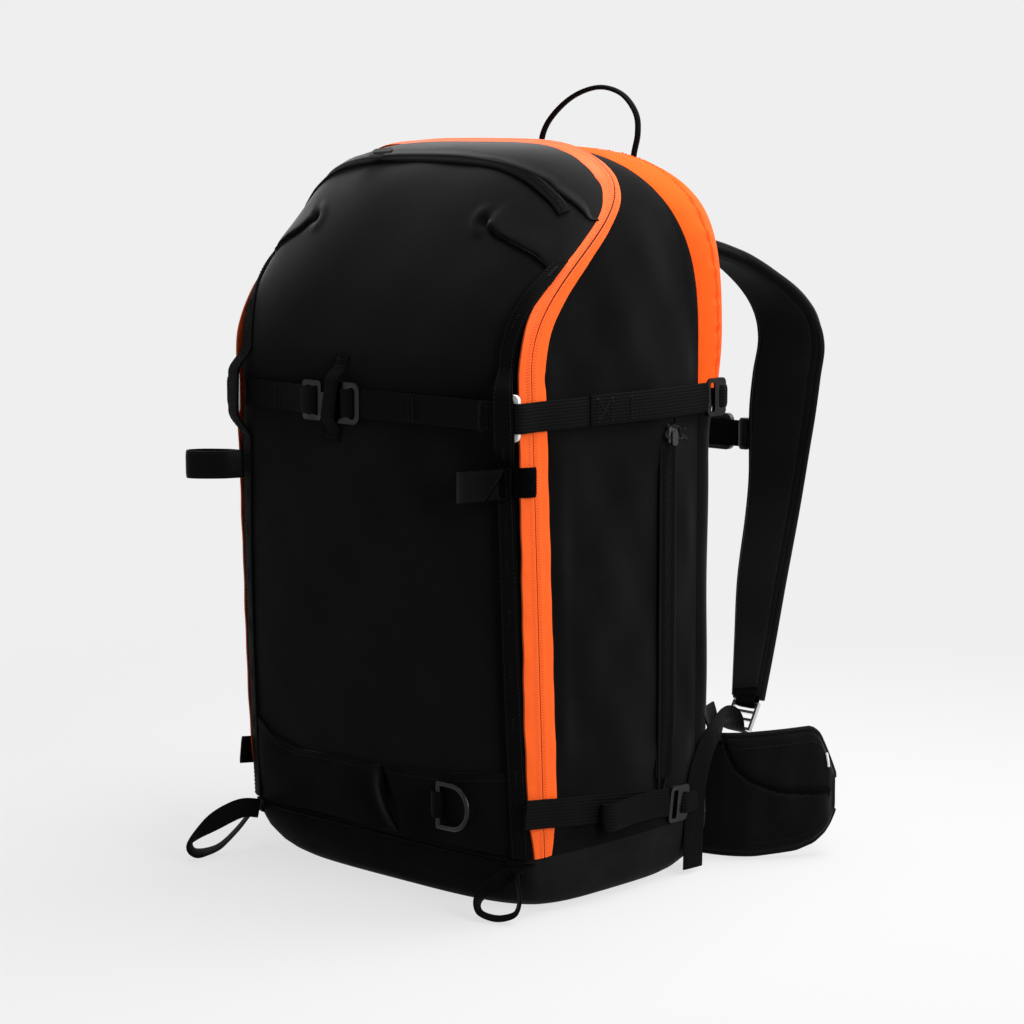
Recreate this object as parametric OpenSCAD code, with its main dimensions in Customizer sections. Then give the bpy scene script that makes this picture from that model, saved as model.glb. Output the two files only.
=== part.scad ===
// Avalanche airbag backpack, standing on its base
// Origin at the middle of the base underside, Z up, front face toward -Y, wearer toward +Y

/* [Body] */
// Width across the front zip
body_w = 280; // [264:1:300]
// Height of the zip crest above the floor
body_h = 520; // [505:1:540]
// Height where the body starts to round over
shoulder_z = 368; // [360:1:380]
// Height of the seam between base and panels
seam_z = 40; // [36:1:44]
// Reach of the front face ahead of the origin
front_y = 117; // [112:1:124]
// Extra belly of the front panel
front_belly = 7; // [4:0.5:10]
// Distance of the front zip ahead of the origin
zip_y = 97; // [93:1:100]
// Forward lean of the front zip over its straight run
zip_lean = 13; // [8:0.5:14]
// Distance of the back panel behind the origin
back_y = 86; // [82:1:90]
// Thickness of the padded fabric panels
shell_t = 3; // [2.5:0.5:3.5]
// Outward swell of the side panels
side_belly = 4; // [2:0.5:6]

/* [Airbag cover] */
// Height of the lower end of the airbag cover
cover_z = 346; // [340:1:352]
// Depth position of the cover's front seam
cover_y = 64; // [60:1:68]
// Outward swell of the cover
cover_belly = 5; // [3:0.5:7]

/* [Webbing and zips] */
// Width of the narrow webbing
web_w = 20; // [18:1:22]
// Thickness of all webbing
web_t = 1.6; // [1.4:0.1:1.8]
// Width of each half of the front zip tape
tape_w = 13; // [11:0.5:14]
// Height of the front strap and the upper side straps
strap_z = 341; // [336:1:346]
// Height of the tool tabs
tab_z = 294; // [284:1:300]
// Length of the tool tab loops
tab_l = 44; // [40:1:50]
// Diameter of the metal and plastic ring wire
wire_d = 3.2; // [2.8:0.2:3.6]

/* [Shoulder straps] */
// Distance of the strap pads behind the origin at the chest
chest_y = 215; // [208:1:222]
// Inner edge of each strap from the middle at the chest
chest_x = 66.5; // [63:0.5:70]
// Widest width of the strap pads
strap_w = 61; // [56:1:66]
// Thickness of the strap pads
strap_t = 12; // [10:0.5:13]
// Height of the sternum strap
sternum_z = 298; // [294:1:302]

/* [Hip belt] */
// Height of the top edge of the hip fins
fin_top = 95; // [88:1:98]
// Thickness of the hip fins
fin_t = 11; // [10:0.5:12]

/* [Airbag system] */
// Diameter of the gas cartridge
gas_d = 50; // [46:1:52]
// Length of the cartridge body
gas_l = 165; // [150:1:175]
// Diameter of the cartridge neck
neck_d = 18; // [16:0.5:20]
// Diameter of the piercing pin
pierce_d = 10; // [8:0.5:11]
// Diameter of the lever pivot
pivot_d = 6; // [5:0.5:7]

/* [Hidden] */
gap = 0.5;
run_gap = 0.1;
zip_w = body_w / 2;
crest_y = -7;
leg_rows = 9;
arch_rows = 9;
rows = leg_rows + arch_rows;
arch_end = 82;
arch_n = 4;
cover_w = zip_w - 1;
cover_top = body_h - 3;
rear_w = zip_w - 12;
rear_top = body_h - 22;
rear_y = back_y + 16;
hinge_y = -front_y - 4;
daisy_a = 30;
daisy_b = 41;
daisy_lift = 0.9;
unit_x = -70;
unit_y = 46;
unit_z = rear_top - 158;
root_z = rear_top - 58;
pad_end_z = 107;
unit_h = 48;
gas_z = unit_z - 14 - gas_l;
pull = 50;

function lerp(a, b, t) = a + (b - a) * t;
function ease(t) = let (c = min(1, max(0, t))) c * c * (3 - 2 * c);
function unit(v) = v / norm(v);
function flip(p) = [-p[0], p[1], p[2]];
function back_to_front(v) = [for (i = [len(v) - 1 : -1 : 0]) v[i]];
function round_r(a, n) = pow(pow(abs(cos(a)), n) + pow(abs(sin(a)), n), -1 / n);
function spline_at(a, b, c, d, t) = 0.5 * (2 * b + (c - a) * t + (2 * a - 5 * b + 4 * c - d) * t * t
    + (3 * b - a - 3 * c + d) * t * t * t);
function smooth(p, n) = concat(
    [for (i = [0 : len(p) - 2]) for (k = [0 : n - 1])
        spline_at(p[max(i - 1, 0)], p[i], p[i + 1], p[min(i + 2, len(p) - 1)], k / n)],
    [p[len(p) - 1]]);

// Nested arches of the body: front zip, front seam of the airbag cover, back edge
function arch_a(i) = i <= leg_rows ? 0 : arch_end * (i - leg_rows) / arch_rows;
function leg_z(i) = i < leg_rows ? lerp(seam_z, cover_z, i / (leg_rows - 1)) : shoulder_z;
function arch_x(w, i) = let (a = arch_a(i)) w * round_r(a, arch_n) * cos(a);
function arch_z(top, i) = let (a = arch_a(i))
    i <= leg_rows ? leg_z(i) : shoulder_z + (top - shoulder_z) * round_r(a, arch_n) * sin(a);
function zip_leg_y(z) = -zip_y - zip_lean * min(1, (z - seam_z) / (shoulder_z - seam_z));
zip_lag = 1.3;
function zip_line_y(z) = let (rise = (z - shoulder_z + 2) / (body_h - 20 - shoulder_z))
    lerp(zip_leg_y(z), crest_y, ease(pow(max(0, rise), zip_lag)));
function zip_at(i) = let (z = arch_z(body_h, i)) [arch_x(zip_w, i), zip_line_y(z), z];
function cover_line_y(z) =
    lerp(cover_y, crest_y + 15, pow(max(0, (z - shoulder_z) / (cover_top - shoulder_z)), 3));
function cover_at(i) = let (z = arch_z(cover_top, i)) [arch_x(cover_w, i), cover_line_y(z), z];
function rear_line_y(z) = lerp(back_y, rear_y, ease((z - cover_z + 50) / 90));
function rear_at(i) = let (z = arch_z(rear_top, i)) [arch_x(rear_w, i), rear_line_y(z), z];
function arch_dir(i) = let (a = arch_a(i)) [cos(a), 0, sin(a)];
function full(f_list, mid) = concat(f_list, [mid], [for (p = back_to_front(f_list)) flip(p)]);
zip_pts = [for (i = [0 : rows]) zip_at(i)];
cover_pts = [for (i = [0 : rows]) cover_at(i)];
rear_pts = [for (i = [0 : rows]) rear_at(i)];
zip_mid = [0, crest_y, body_h];
cover_mid = [0, crest_y + 15, cover_top];
rear_mid = [0, rear_y, rear_top];

// Front panel: level rows from zip to zip, rounded at the corners
function front_line(z) =
    -front_y - front_belly * sin(180 * min(1, max(0, (z - seam_z) / (shoulder_z * 1.12))));
function dome_k(i) = i <= leg_rows ? 0 : (i - leg_rows) / arch_rows;
function front_mid_y(i) = let (z = arch_z(body_h, i))
    i <= leg_rows ? front_line(z) : lerp(crest_y, front_line(shoulder_z), cos(90 * dome_k(i)));
function corner_n(i) = lerp(4, 2.5, dome_k(i));
function front_pt(i, t) = let (z = zip_at(i), r = round_r(t, corner_n(i)))
    [z[0] * r * cos(t), lerp(z[1], front_mid_y(i), r * sin(t)), z[2]];
function front_at(t, z) = let (r = round_r(t, 4))
    [zip_w * r * cos(t), lerp(zip_line_y(z), front_line(z), r * sin(t)), z];
function front_out(t, z) = let (d = front_at(t + 0.5, z) - front_at(t - 0.5, z)) unit([-d[1], d[0], 0]);
function front_off(t, z, h) = front_at(t, z) + h * front_out(t, z);
function front_x(x, z) = let (s = min(1, abs(x) / zip_w))
    lerp(zip_line_y(z), front_line(z), pow(1 - pow(s, 4), 1 / 4));

// Side panels, cover and back, each column from back to front
function swell(i) = min(side_belly, 0.025 * norm(zip_at(i) - cover_at(i)));
function side_pt(i, v) = lerp(cover_at(i), zip_at(i), v) + swell(i) * sin(180 * v) * arch_dir(i);
function gusset_pt(i, v) = lerp(rear_at(i), cover_at(i), v)
    + cover_belly * sin(180 * v) * unit(arch_dir(i) + [0, 0.4, 0]);
function side_x(y) = let (v = (y - cover_y) / (-zip_y - cover_y))
    lerp(cover_w, zip_w, v) + side_belly * sin(180 * min(1, max(0, v)));
function back_pt(i, u) = [lerp(-rear_at(i)[0], rear_at(i)[0], u), rear_at(i)[1], rear_at(i)[2]];

function grid_out(g, i, j) = let (m = len(g) - 1, n = len(g[0]) - 1,
    di = g[min(i + 1, m)][j] - g[max(i - 1, 0)][j],
    dj = g[i][min(j + 1, n)] - g[i][max(j - 1, 0)]) unit(cross(di, dj));
function raised(g, h) = [for (i = [0 : len(g) - 1])
    [for (j = [0 : len(g[0]) - 1]) g[i][j] + h * grid_out(g, i, j)]];
function tri(a, b, c, d) = [[a, b, c], [a, c, d]];

// Solid between two point grids of the same size
module slab(top, low) {
    m = len(top);
    n = len(top[0]);
    s = m * n;
    polyhedron(
        concat([for (r = top) each r], [for (r = low) each r]),
        concat(
            [for (i = [0 : m - 2]) for (j = [0 : n - 2]) let (a = i * n + j)
                each concat(tri(a, a + 1, a + n + 1, a + n),
                    tri(s + a, s + a + n, s + a + n + 1, s + a + 1))],
            [for (j = [0 : n - 2]) let (b = (m - 1) * n + j)
                each concat(tri(j + 1, j, s + j, s + j + 1), tri(b, b + 1, s + b + 1, s + b))],
            [for (i = [0 : m - 2]) let (a = i * n, b = i * n + n - 1)
                each concat(tri(a, a + n, s + a + n, s + a), tri(b + n, b, s + b, s + b + n))]));
}

module panel(g, high, low) {
    slab(raised(g, high), raised(g, low));
}

// Skin through rings that run counterclockwise seen from the far end
module skin(rings) {
    m = len(rings);
    n = len(rings[0]);
    polyhedron(
        [for (r = rings) each r],
        concat(
            [for (i = [0 : m - 2]) for (j = [0 : n - 1]) let (k = (j + 1) % n, a = i * n)
                each tri(a + j, a + n + j, a + n + k, a + k)],
            [[for (j = [0 : n - 1]) j]],
            [[for (j = [n - 1 : -1 : 0]) (m - 1) * n + j]]));
}

function rim(c, w, n, hw, ht, cut) = [
    c + w * (hw - cut) - n * ht, c + w * hw - n * (ht - cut),
    c + w * hw + n * (ht - cut), c + w * (hw - cut) + n * ht,
    c - w * (hw - cut) + n * ht, c - w * hw + n * (ht - cut),
    c - w * hw - n * (ht - cut), c - w * (hw - cut) - n * ht];
function run_dir(p, i) = unit(p[min(i + 1, len(p) - 1)] - p[max(i - 1, 0)]);
function square_to(w, t) = unit(w - t * (w * t));

// Flat webbing along a path, its width along one direction or one per point
module band(path, wide, width, thick) {
    skin([for (i = [0 : len(path) - 1])
        let (t = run_dir(path, i), w0 = is_num(wide[0]) ? wide : wide[i], w = square_to(w0, t))
        rim(path[i], w, cross(t, w), width / 2, thick / 2, thick * 0.25)]);
}

// Padded strap between two edge lines
module padded(inner, outer, thick) {
    mid = (inner + outer) / 2;
    skin([for (i = [0 : len(mid) - 1])
        let (t = run_dir(mid, i), w = square_to(outer[i] - inner[i], t))
        rim(mid[i], w, cross(t, w), norm(outer[i] - inner[i]) / 2, thick / 2, thick * 0.3)]);
}

module cord(path, d, sides) {
    skin([for (i = [0 : len(path) - 1])
        let (t = run_dir(path, i), w = square_to(abs(t[2]) > 0.9 ? [1, 0, 0] : [0, 0, 1], t), n = cross(t, w))
        [for (k = [0 : sides - 1]) path[i] + d / 2 * (w * cos(360 * k / sides) + n * sin(360 * k / sides))]]);
}

module rounded(w, h, r) {
    hull() {
        for (x = [-1, 1]) {
            for (y = [-1, 1]) {
                translate([x * (w / 2 - r), y * (h / 2 - r)]) circle(r = r, $fn = 24);
            }
        }
    }
}

module left() {
    mirror([1, 0, 0]) children();
}

// Base and panels
function base_ring(kx, ky, z, cut) = let (
    yc = (back_y - front_y) / 2,
    front = [for (k = [0 : 16]) front_pt(0, 0.5 + 179 * k / 16)],
    side = [for (v = [0.98, 0.66, 0.33, 0]) side_pt(0, v)],
    back = concat([gusset_pt(0, 0.5)], [for (u = [1, 0.66, 0.33, 0]) back_pt(0, u)],
        [flip(gusset_pt(0, 0.5))]),
    ring = concat(back_to_front(front), back_to_front([for (p = back_to_front(side)) p]), back,
        [for (p = back_to_front(side)) flip(p)]))
    [for (p = ring) let (q = [p[0], p[1] - yc, 0], s = (norm(q) - cut) / norm(q))
        [q[0] * s * kx, yc + q[1] * s * (q[1] < 0 ? ky : kx), z]];

module base_tub() {
    color("#1b1c1f")
    skin([
        base_ring(0.9, 0.76, 0, 0), base_ring(0.955, 0.86, 4, 0), base_ring(0.985, 0.94, 12, 0),
        base_ring(1, 0.985, 24, 0), base_ring(1, 1, seam_z - gap, 0), base_ring(1, 1, seam_z - gap, shell_t),
        base_ring(1, 0.985, 24, shell_t), base_ring(0.985, 0.94, 13, shell_t),
        base_ring(0.92, 0.82, 5, shell_t)]);
}

side_rows = [for (i = [0 : 15]) i < leg_rows ? i : i == leg_rows ? leg_rows - 0.97 : i - 1];
module side_panel_right() {
    color("#1d1e21")
    panel([for (i = side_rows) concat(
        i < leg_rows - 0.99 ? [for (v = [0.04, 0.5]) gusset_pt(i, v)] : [],
        i < leg_rows - 0.99 ? [for (v = [0 : 0.125 : 0.99]) side_pt(i, v)] : [],
        i < leg_rows - 0.99 ? [] : [for (v = [0.006, 0.02, 0.04]) side_pt(i, v)],
        i < leg_rows - 0.99 ? [] : [for (v = [0.125 : 0.125 : 0.99]) side_pt(i, v)],
        [side_pt(i, 0.996)])], 0, -shell_t);
}

module side_panel_left() {
    left() side_panel_right();
}

function over(i0, f, m) = concat(
    [for (i = [i0 : rows]) f[i]], [m], [for (i = [rows : -1 : i0]) [for (p = f[i]) flip(p)]]);

module top_panel() {
    right = [for (i = [0 : rows]) [for (v = [0.02, 0.25, 0.5, 0.7, 0.86]) side_pt(i, v)]];
    mid = [for (v = [0.02, 0.25, 0.5, 0.7, 0.86]) lerp(cover_mid, zip_mid, v) + [0, 0, 0.4 * sin(180 * v)]];
    first = [for (v = [0.02, 0.25, 0.5, 0.7, 0.86]) lerp(side_pt(14, v), side_pt(15, v), 0.06)];
    rest = over(15, right, mid);
    color("#1d1e21") panel(concat([first], rest, [[for (p = first) flip(p)]]), 0, -shell_t);
}

module airbag_cover() {
    cols = [0.055, 0.2, 0.4, 0.6, 0.8, 0.985];
    right = [for (i = [0 : rows]) [for (v = cols) gusset_pt(i, v)]];
    mid = [for (v = cols) lerp(rear_mid, cover_mid, v) + cover_belly * sin(180 * v) * unit([0, 0.4, 1])];
    first = [for (v = cols) lerp(gusset_pt(leg_rows - 1, v), gusset_pt(leg_rows, v), 0.09)];
    rest = over(leg_rows, right, mid);
    color("#f0621a") panel(concat([first], rest, [[for (p = first) flip(p)]]), 0, -shell_t);
}

module back_panel() {
    color("#202124")
    panel([for (i = [0 : rows]) [for (k = [0 : 6]) back_pt(i, 0.016 + 0.968 * k / 6)]], 0, -shell_t);
}

module frame_sheet() {
    color("#3a3c40")
    panel([for (i = [1 : 13]) [for (u = [0.06 : 0.22 : 0.95]) back_pt(i, u)]], -shell_t - gap,
        -shell_t - gap - 2);
}

// The back pads end below the roots of the shoulder straps
pad_rows = [for (i = [3 : rows]) if (back_pt(i, 0.6)[2] < root_z - 22) i];

module back_pad_right() {
    color("#2a2c30")
    panel([for (i = pad_rows) [for (u = [0.57, 0.6, 0.72, 0.84, 0.87]) back_pt(i, u)]], 13, 0.4);
}

module back_pad_left() {
    left() back_pad_right();
}

fin_x = 92;
fin_y = back_y + 17;

module lumbar_pad() {
    color("#2a2c30")
    translate([0, 0, 14])
    linear_extrude(height = 84) difference() {
        translate([-fin_x, back_y + 0.5]) square([2 * fin_x, 22]);
        for (x = [-fin_x, fin_x]) {
            translate([x, fin_y]) circle(d = fin_t + 2 * gap, $fn = 48);
        }
    }
}

// Front zip and panel
function zip_run(i) = full(zip_pts, zip_mid);
zip_all = full(zip_pts, zip_mid);
zip_n = concat([for (i = [0 : rows]) arch_dir(i)], [[0, 0, 1]],
    [for (i = [rows : -1 : 0]) flip(arch_dir(i))]);
function zip_side(i) = unit(cross(zip_n[i], run_dir(zip_all, i)));
module zip_band(from, tilt, lift) {
    band([for (i = [0 : len(zip_all) - 1]) zip_all[i] + from * zip_side(i) * cos(tilt)
        + zip_n[i] * (lift - abs(from) * sin(tilt))],
        [for (i = [0 : len(zip_all) - 1]) zip_side(i) * cos(tilt) - zip_n[i] * sin(tilt) * sign(from)],
        tape_w, web_t);
}

module zip_tape_body() {
    color("#f0621a") zip_band(-tape_w / 2 - 0.6, -4.5, 1.2);
}

module zip_tape_door() {
    color("#f0621a") zip_band(tape_w / 2 + 0.6, 9, 1.4);
}

module front_panel() {
    cols = [8, 18, 28, 38, 46, 54, 64, 76, 90];
    color("#1a1b1e")
    panel([for (i = [0 : rows]) let (edge = min(3, atan(gap / max(2, zip_at(i)[1] - front_mid_y(i)))))
        concat([for (t = concat([edge], cols)) front_pt(i, t)],
            [for (t = back_to_front(concat([edge], cols))) if (t < 90) flip(front_pt(i, t))])], 0, -shell_t);
}

module slider(l, w, h, pull = 20) {
    translate([0, 0, -l / 2]) linear_extrude(height = l) translate([0, h / 2]) rounded(w, h, 1.2);
    translate([0, h, l / 2 - 3]) rotate([90, 0, 0]) translate([0, 0, -1.6]) linear_extrude(height = 1.8)
        translate([0, -pull / 2]) rounded(min(7, w - 3), pull, 2);
}

module front_zip_slider() {
    color("#15161a")
    translate([-zip_w - 2.8, zip_line_y(112), 112]) rotate([0, 0, 90]) slider(14, 10, 4.5);
}

pocket_xz = [[126, 0.69], [117, 0.755], [98, 0.84], [74, 0.893], [42, 0.916], [0, 0.924]];
function dome_z(k) = shoulder_z + (body_h - shoulder_z) * k;
function dome_y(x, z) = let (s = (z - shoulder_z) / (body_h - shoulder_z),
    i = leg_rows + arch_rows * dome_i(s),
    w = zip_w * pow(max(0, 1 - pow(s, arch_n)), 1 / arch_n), n = corner_n(i),
    d = pow(max(0, 1 - pow(min(1, abs(x) / w), n)), 1 / n))
    lerp(zip_line_y(z), front_mid_y(i), d);
function dome_i(s) = let (a = atan2(s, pow(max(0, 1 - pow(s, arch_n)), 1 / arch_n))) min(1, a / arch_end);
function dome_out(x, z) = let (dx = dome_y(x + 0.5, z) - dome_y(x - 0.5, z),
    dz = dome_y(x, z + 0.5) - dome_y(x, z - 0.5))
    unit([dx, -1, dz]);
pocket_right = smooth([for (p = pocket_xz) [p[0] * zip_w / 140, 0, dome_z(p[1])]], 3);
pocket_flat = concat(pocket_right, [for (i = [len(pocket_right) - 2 : -1 : 0]) flip(pocket_right[i])]);
pocket_out = [for (p = pocket_flat) dome_out(p[0], p[2])];
pocket_run = [for (i = [0 : len(pocket_flat) - 1]) let (p = pocket_flat[i])
    [p[0], dome_y(p[0], p[2]), p[2]] + 1.4 * pocket_out[i]];

module pocket_zip_tape() {
    color("#141518")
    band(pocket_run, [for (i = [0 : len(pocket_run) - 1]) cross(pocket_out[i], run_dir(pocket_run, i))],
        15, web_t);
}

pocket_at = len(pocket_right) + 2;
module pocket_zip_slider() {
    p = pocket_run[pocket_at];
    n = pocket_out[pocket_at];
    t = run_dir(pocket_run, pocket_at);
    s = cross(n, t);
    color("#15161a")
    multmatrix([[s[0], n[0], t[0], p[0] + 1.6 * n[0]], [s[1], n[1], t[1], p[1] + 1.6 * n[1]],
        [s[2], n[2], t[2], p[2] + 1.6 * n[2]], [0, 0, 0, 1]])
        slider(10, 7, 3.5);
}

function daisy_turn(i) = pow(27 / max(27, zip_at(i)[1] - front_mid_y(i)), 0.85);

module daisy_right() {
    color("#121316")
    panel([for (i = [1 : 13]) [for (t = [for (k = [0 : 4]) lerp(daisy_a, daisy_b, k / 4)])
        i == 1 ? front_at(t, seam_z + 12) : front_pt(i, t * daisy_turn(i))]], daisy_lift + web_t, daisy_lift);
}

module daisy_left() {
    left() daisy_right();
}

ring_x = zip_w - 5;
function strap_layer(x, z, h) = [x, front_x(x, z) - h, z];
hook_x = -34;
keep_x = hook_x + 5;
function keep_path(lift, z0, z1) = [for (k = [0 : 6]) let (z = lerp(z0, z1, k / 6), x = keep_x + 0.16 * z)
    [x, front_x(x, strap_z + z) - lerp(lift, 1.9, pow(abs(2 * k / 6 - 1), 8)), strap_z + z]];

// Front strap with its upright keeper, which passes over the hook
module front_strap() {
    run = [for (x = [126, 116, 100, 80, 40, 0, -30, -60, -80, -100, -116, -126]) let (k = x * zip_w / 140)
        strap_layer(k, strap_z, 3.6)];
    color("#141518") {
        band(run, [0, 0, 1], web_w, web_t);
        band(keep_path(9.4, 31, -24), [1, 0, 0], 13, web_t);
        band(keep_path(2.1, 31, -24), [1, 0, 0], 13, web_t);
    }
}

// Flat hook on the left, linked by its arm to the ring frame on the right
module front_hook() {
    color("#0e0f11")
    translate([hook_x, front_x(hook_x, strap_z) - 5.2, strap_z])
    rotate([90, 0, 0]) linear_extrude(height = 2.5) {
        difference() {
            translate([-16, 0]) rounded(19, web_w + 8, 3);
            translate([-19, 0]) rounded(4.5, web_w + 1, 1.5);
            translate([-11.5, 0]) rounded(4, web_w + 1, 1.5);
        }
        translate([-7.5, -6]) square([15, 12]);
        difference() {
            translate([19, 0]) rounded(26, web_w + 9, 6);
            translate([13.6, 0]) rounded(6.5, web_w + 2, 2.5);
            translate([24.4, 0]) rounded(6.5, web_w + 2, 2.5);
        }
    }
}

// Pale loop of plastic wire where the straps meet the edge webbing
module edge_ring_right() {
    p = front_off(32, strap_z, 7 + wire_d / 2);
    n = front_out(36, strap_z);
    color("#e6e6e2")
    multmatrix([[-n[1], 0, n[0], p[0]], [n[0], 0, n[1], p[1]], [0, 1, 0, p[2]], [0, 0, 0, 1]])
    translate([0, 0, -wire_d / 2]) linear_extrude(height = wire_d) difference() {
        rounded(12, web_w + 11, 4);
        rounded(12 - 2 * wire_d, web_w + 11 - 2 * wire_d, 1.5);
    }
}

module edge_ring_left() {
    left() edge_ring_right();
}

// Hook-and-loop tool tabs, each a closed loop of tape hinged at the edge webbing
tab_p = front_off((daisy_a + daisy_b) / 2, tab_z, daisy_lift + web_t + 0.3 + 2.5);
module tab_loop(l, s) {
    loop = smooth([[0, -1.2, 0], [l * 0.3, s - 3.6, 0], [l * 0.7, s - 4.2, 0], [l - 2.4, s - 2.8, 0],
        [l, s, 0], [l - 2.4, s + 2.8, 0], [l * 0.7, s + 4.2, 0], [l * 0.3, s + 3.6, 0], [0, 1.2, 0]], 3);
    band(loop, [0, 0, 1], web_w + 3, web_t);
    translate([0, 0, -web_w / 2 - 1.5]) cylinder(d = 5, h = web_w + 3, $fn = 32);
}

module tool_tab_right() {
    color("#17181b") translate(tab_p) rotate([0, 0, 183]) tab_loop(tab_l, 4);
}

tab_drop = 5.5;
module tool_tab_left() {
    color("#17181b") translate(flip(tab_p) - [0, 0, tab_drop]) rotate([0, 0, 216]) tab_loop(tab_l, 0);
}

// D-ring turning on its straight bar, held in a folded webbing keeper
ring_bx = 67;
ring_z = 70;
ring_d = 4;
ring_y = front_x(ring_bx, ring_z) - 4.7;
module d_ring() {
    color("#0d0e10")
    translate([ring_bx, ring_y, ring_z]) {
        translate([0, 0, -15]) cylinder(d = ring_d, h = 30, $fn = 32);
        translate([13, 0, 0]) rotate([90, 0, 0]) rotate([0, 0, -90]) rotate_extrude(angle = 180, $fn = 48)
            translate([15, 0]) circle(d = ring_d, $fn = 24);
        for (z = [-15, 15]) {
            translate([0, 0, z]) sphere(d = ring_d, $fn = 24);
            translate([0, 0, z]) rotate([0, 90, 0]) cylinder(d = ring_d, h = 13, $fn = 32);
        }
    }
}

module d_ring_keeper() {
    color("#141518")
    translate([ring_bx, ring_y, ring_z - 9]) linear_extrude(height = 18) {
        difference() {
            union() {
                circle(d = ring_d + 3.4, $fn = 32);
                translate([-34, ring_d / 2 + 0.2]) square([34, 1.5]);
                translate([-34, -ring_d / 2 - 1.7]) square([34, 1.5]);
                translate([-34, -ring_d / 2 - 1.7]) square([20, ring_d + 3.4]);
            }
            circle(d = ring_d + 2 * run_gap, $fn = 32);
        }
    }
}

// Side zip and straps
side_zip_y = 27;
module side_zip_tape() {
    run = [for (z = [80, 130, 200, 270, 324]) [side_x(side_zip_y) + 1.6, side_zip_y, z]];
    color("#121316") band(run, [0, 1, 0], 24, web_t);
}

module side_zip_slider() {
    color("#15161a")
    translate([side_x(side_zip_y) + 2.9, side_zip_y, 319]) rotate([0, 0, -90]) slider(11, 9, 4, 10);
}

function strap_run(z0, z1, y0, y1) = [for (y = concat([y0], [-zip_y + 2, -84, -60, -30, 0, 27, 52], [y1]))
    if (y < y1 - 4 || y == y1)
        [(y < -zip_y ? zip_w : side_x(min(y, cover_y))) + lerp(4.4, 1.4, ease((y + 86) / 40)), y,
            lerp(z0, z1, (y + zip_y) / (zip_y + y1))]];

module upper_strap_right() {
    color("#141518") band(strap_run(strap_z, strap_z, -zip_y - 11, 70.7), [0, 0, 1], web_w, web_t);
}

module upper_strap_left() {
    left() upper_strap_right();
}

module lower_strap_right() {
    color("#141518") band(strap_run(72, 57, -zip_y - 19, 27.7), [0, 0, 1], web_w, web_t);
}

module lower_strap_left() {
    left() lower_strap_right();
}

// Hook buckle: flat frame with a slot and a turned lip
module hook_buckle() {
    linear_extrude(height = 3) difference() {
        rounded(20, web_w + 7, 4);
        translate([-4.5, 0]) rounded(5, web_w + 1, 1.5);
        translate([4.5, 0]) rounded(4, web_w - 4, 1.5);
    }
}

module upper_hook_right() {
    color("#0e0f11")
    translate([side_x(cover_y) + 0.8, 81, strap_z]) rotate([90, 0, 90]) hook_buckle();
}

module upper_hook_left() {
    left() upper_hook_right();
}

module lower_hook_right() {
    color("#0e0f11") translate([side_x(39) + 2, 39, 55]) rotate([96, 0, 90]) hook_buckle();
}

module lower_hook_left() {
    left() lower_hook_right();
}

// Axe loops hinged at the front corners of the base, one hanging and one standing out
axe_a = 38;
axe_z = 33;
axe_lift = 2.8;
axe_lift_left = 1.95;
axe_p = front_at(axe_a, seam_z);
axe_n = front_out(axe_a, seam_z);
axe_turn = atan2(axe_n[1], axe_n[0]) + 90;
module axe_root() {
    translate([-11, 0, 0]) rotate([0, 90, 0]) cylinder(d = 5, h = 22, $fn = 32);
}

// Local x along the base edge, local -y outward
module axe_loop_right() {
    loop = smooth([[-3, -2, -1], [-9, -5, -8], [-16, -8, -19], [-12, -10, -28], [0, -11, -31], [12, -10, -28],
        [16, -8, -19], [9, -5, -8], [3, -2, -1]], 3);
    color("#131417")
    translate([axe_p[0], axe_p[1], axe_z] + axe_lift * axe_n) rotate([0, 0, axe_turn]) {
        band(loop, [0, 1, 0.15], 12, web_t);
        axe_root();
    }
}

module axe_loop_left() {
    loop = smooth([[-4, -1.5, 0], [-5, -18, 2], [-5, -40, -6], [-2, -56, -19], [1, -50, -28], [4, -32, -27],
        [5, -14, -17], [4, -2, -1]], 3);
    color("#131417")
    mirror([1, 0, 0]) translate([axe_p[0], axe_p[1], axe_z] + axe_lift_left * axe_n)
    rotate([0, 0, axe_turn]) {
        band(loop, [1, 0, 0.1], 14, web_t);
        axe_root();
    }
}

// Haul loop on the top back edge
haul_x = 44;
haul_y = rear_y + 4.6;
haul_z = rear_top - 8;
module haul_loop() {
    loop = smooth([[-haul_x, 0, 0], [-haul_x - 3, 0, 18], [-haul_x + 4, 0, 44], [-haul_x + 22, 0, 62],
        [4, 0, 68], [haul_x - 14, 0, 60], [haul_x, 0, 42], [haul_x + 1, 0, 18], [haul_x, 0, 0]], 2);
    color("#141518") translate([0, haul_y, haul_z]) {
        cord(loop, 6, 8);
        for (x = [-haul_x, haul_x]) {
            translate([x - 7, 0, 0]) rotate([0, 90, 0]) cylinder(d = 8, h = 14, $fn = 32);
        }
    }
}

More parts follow.
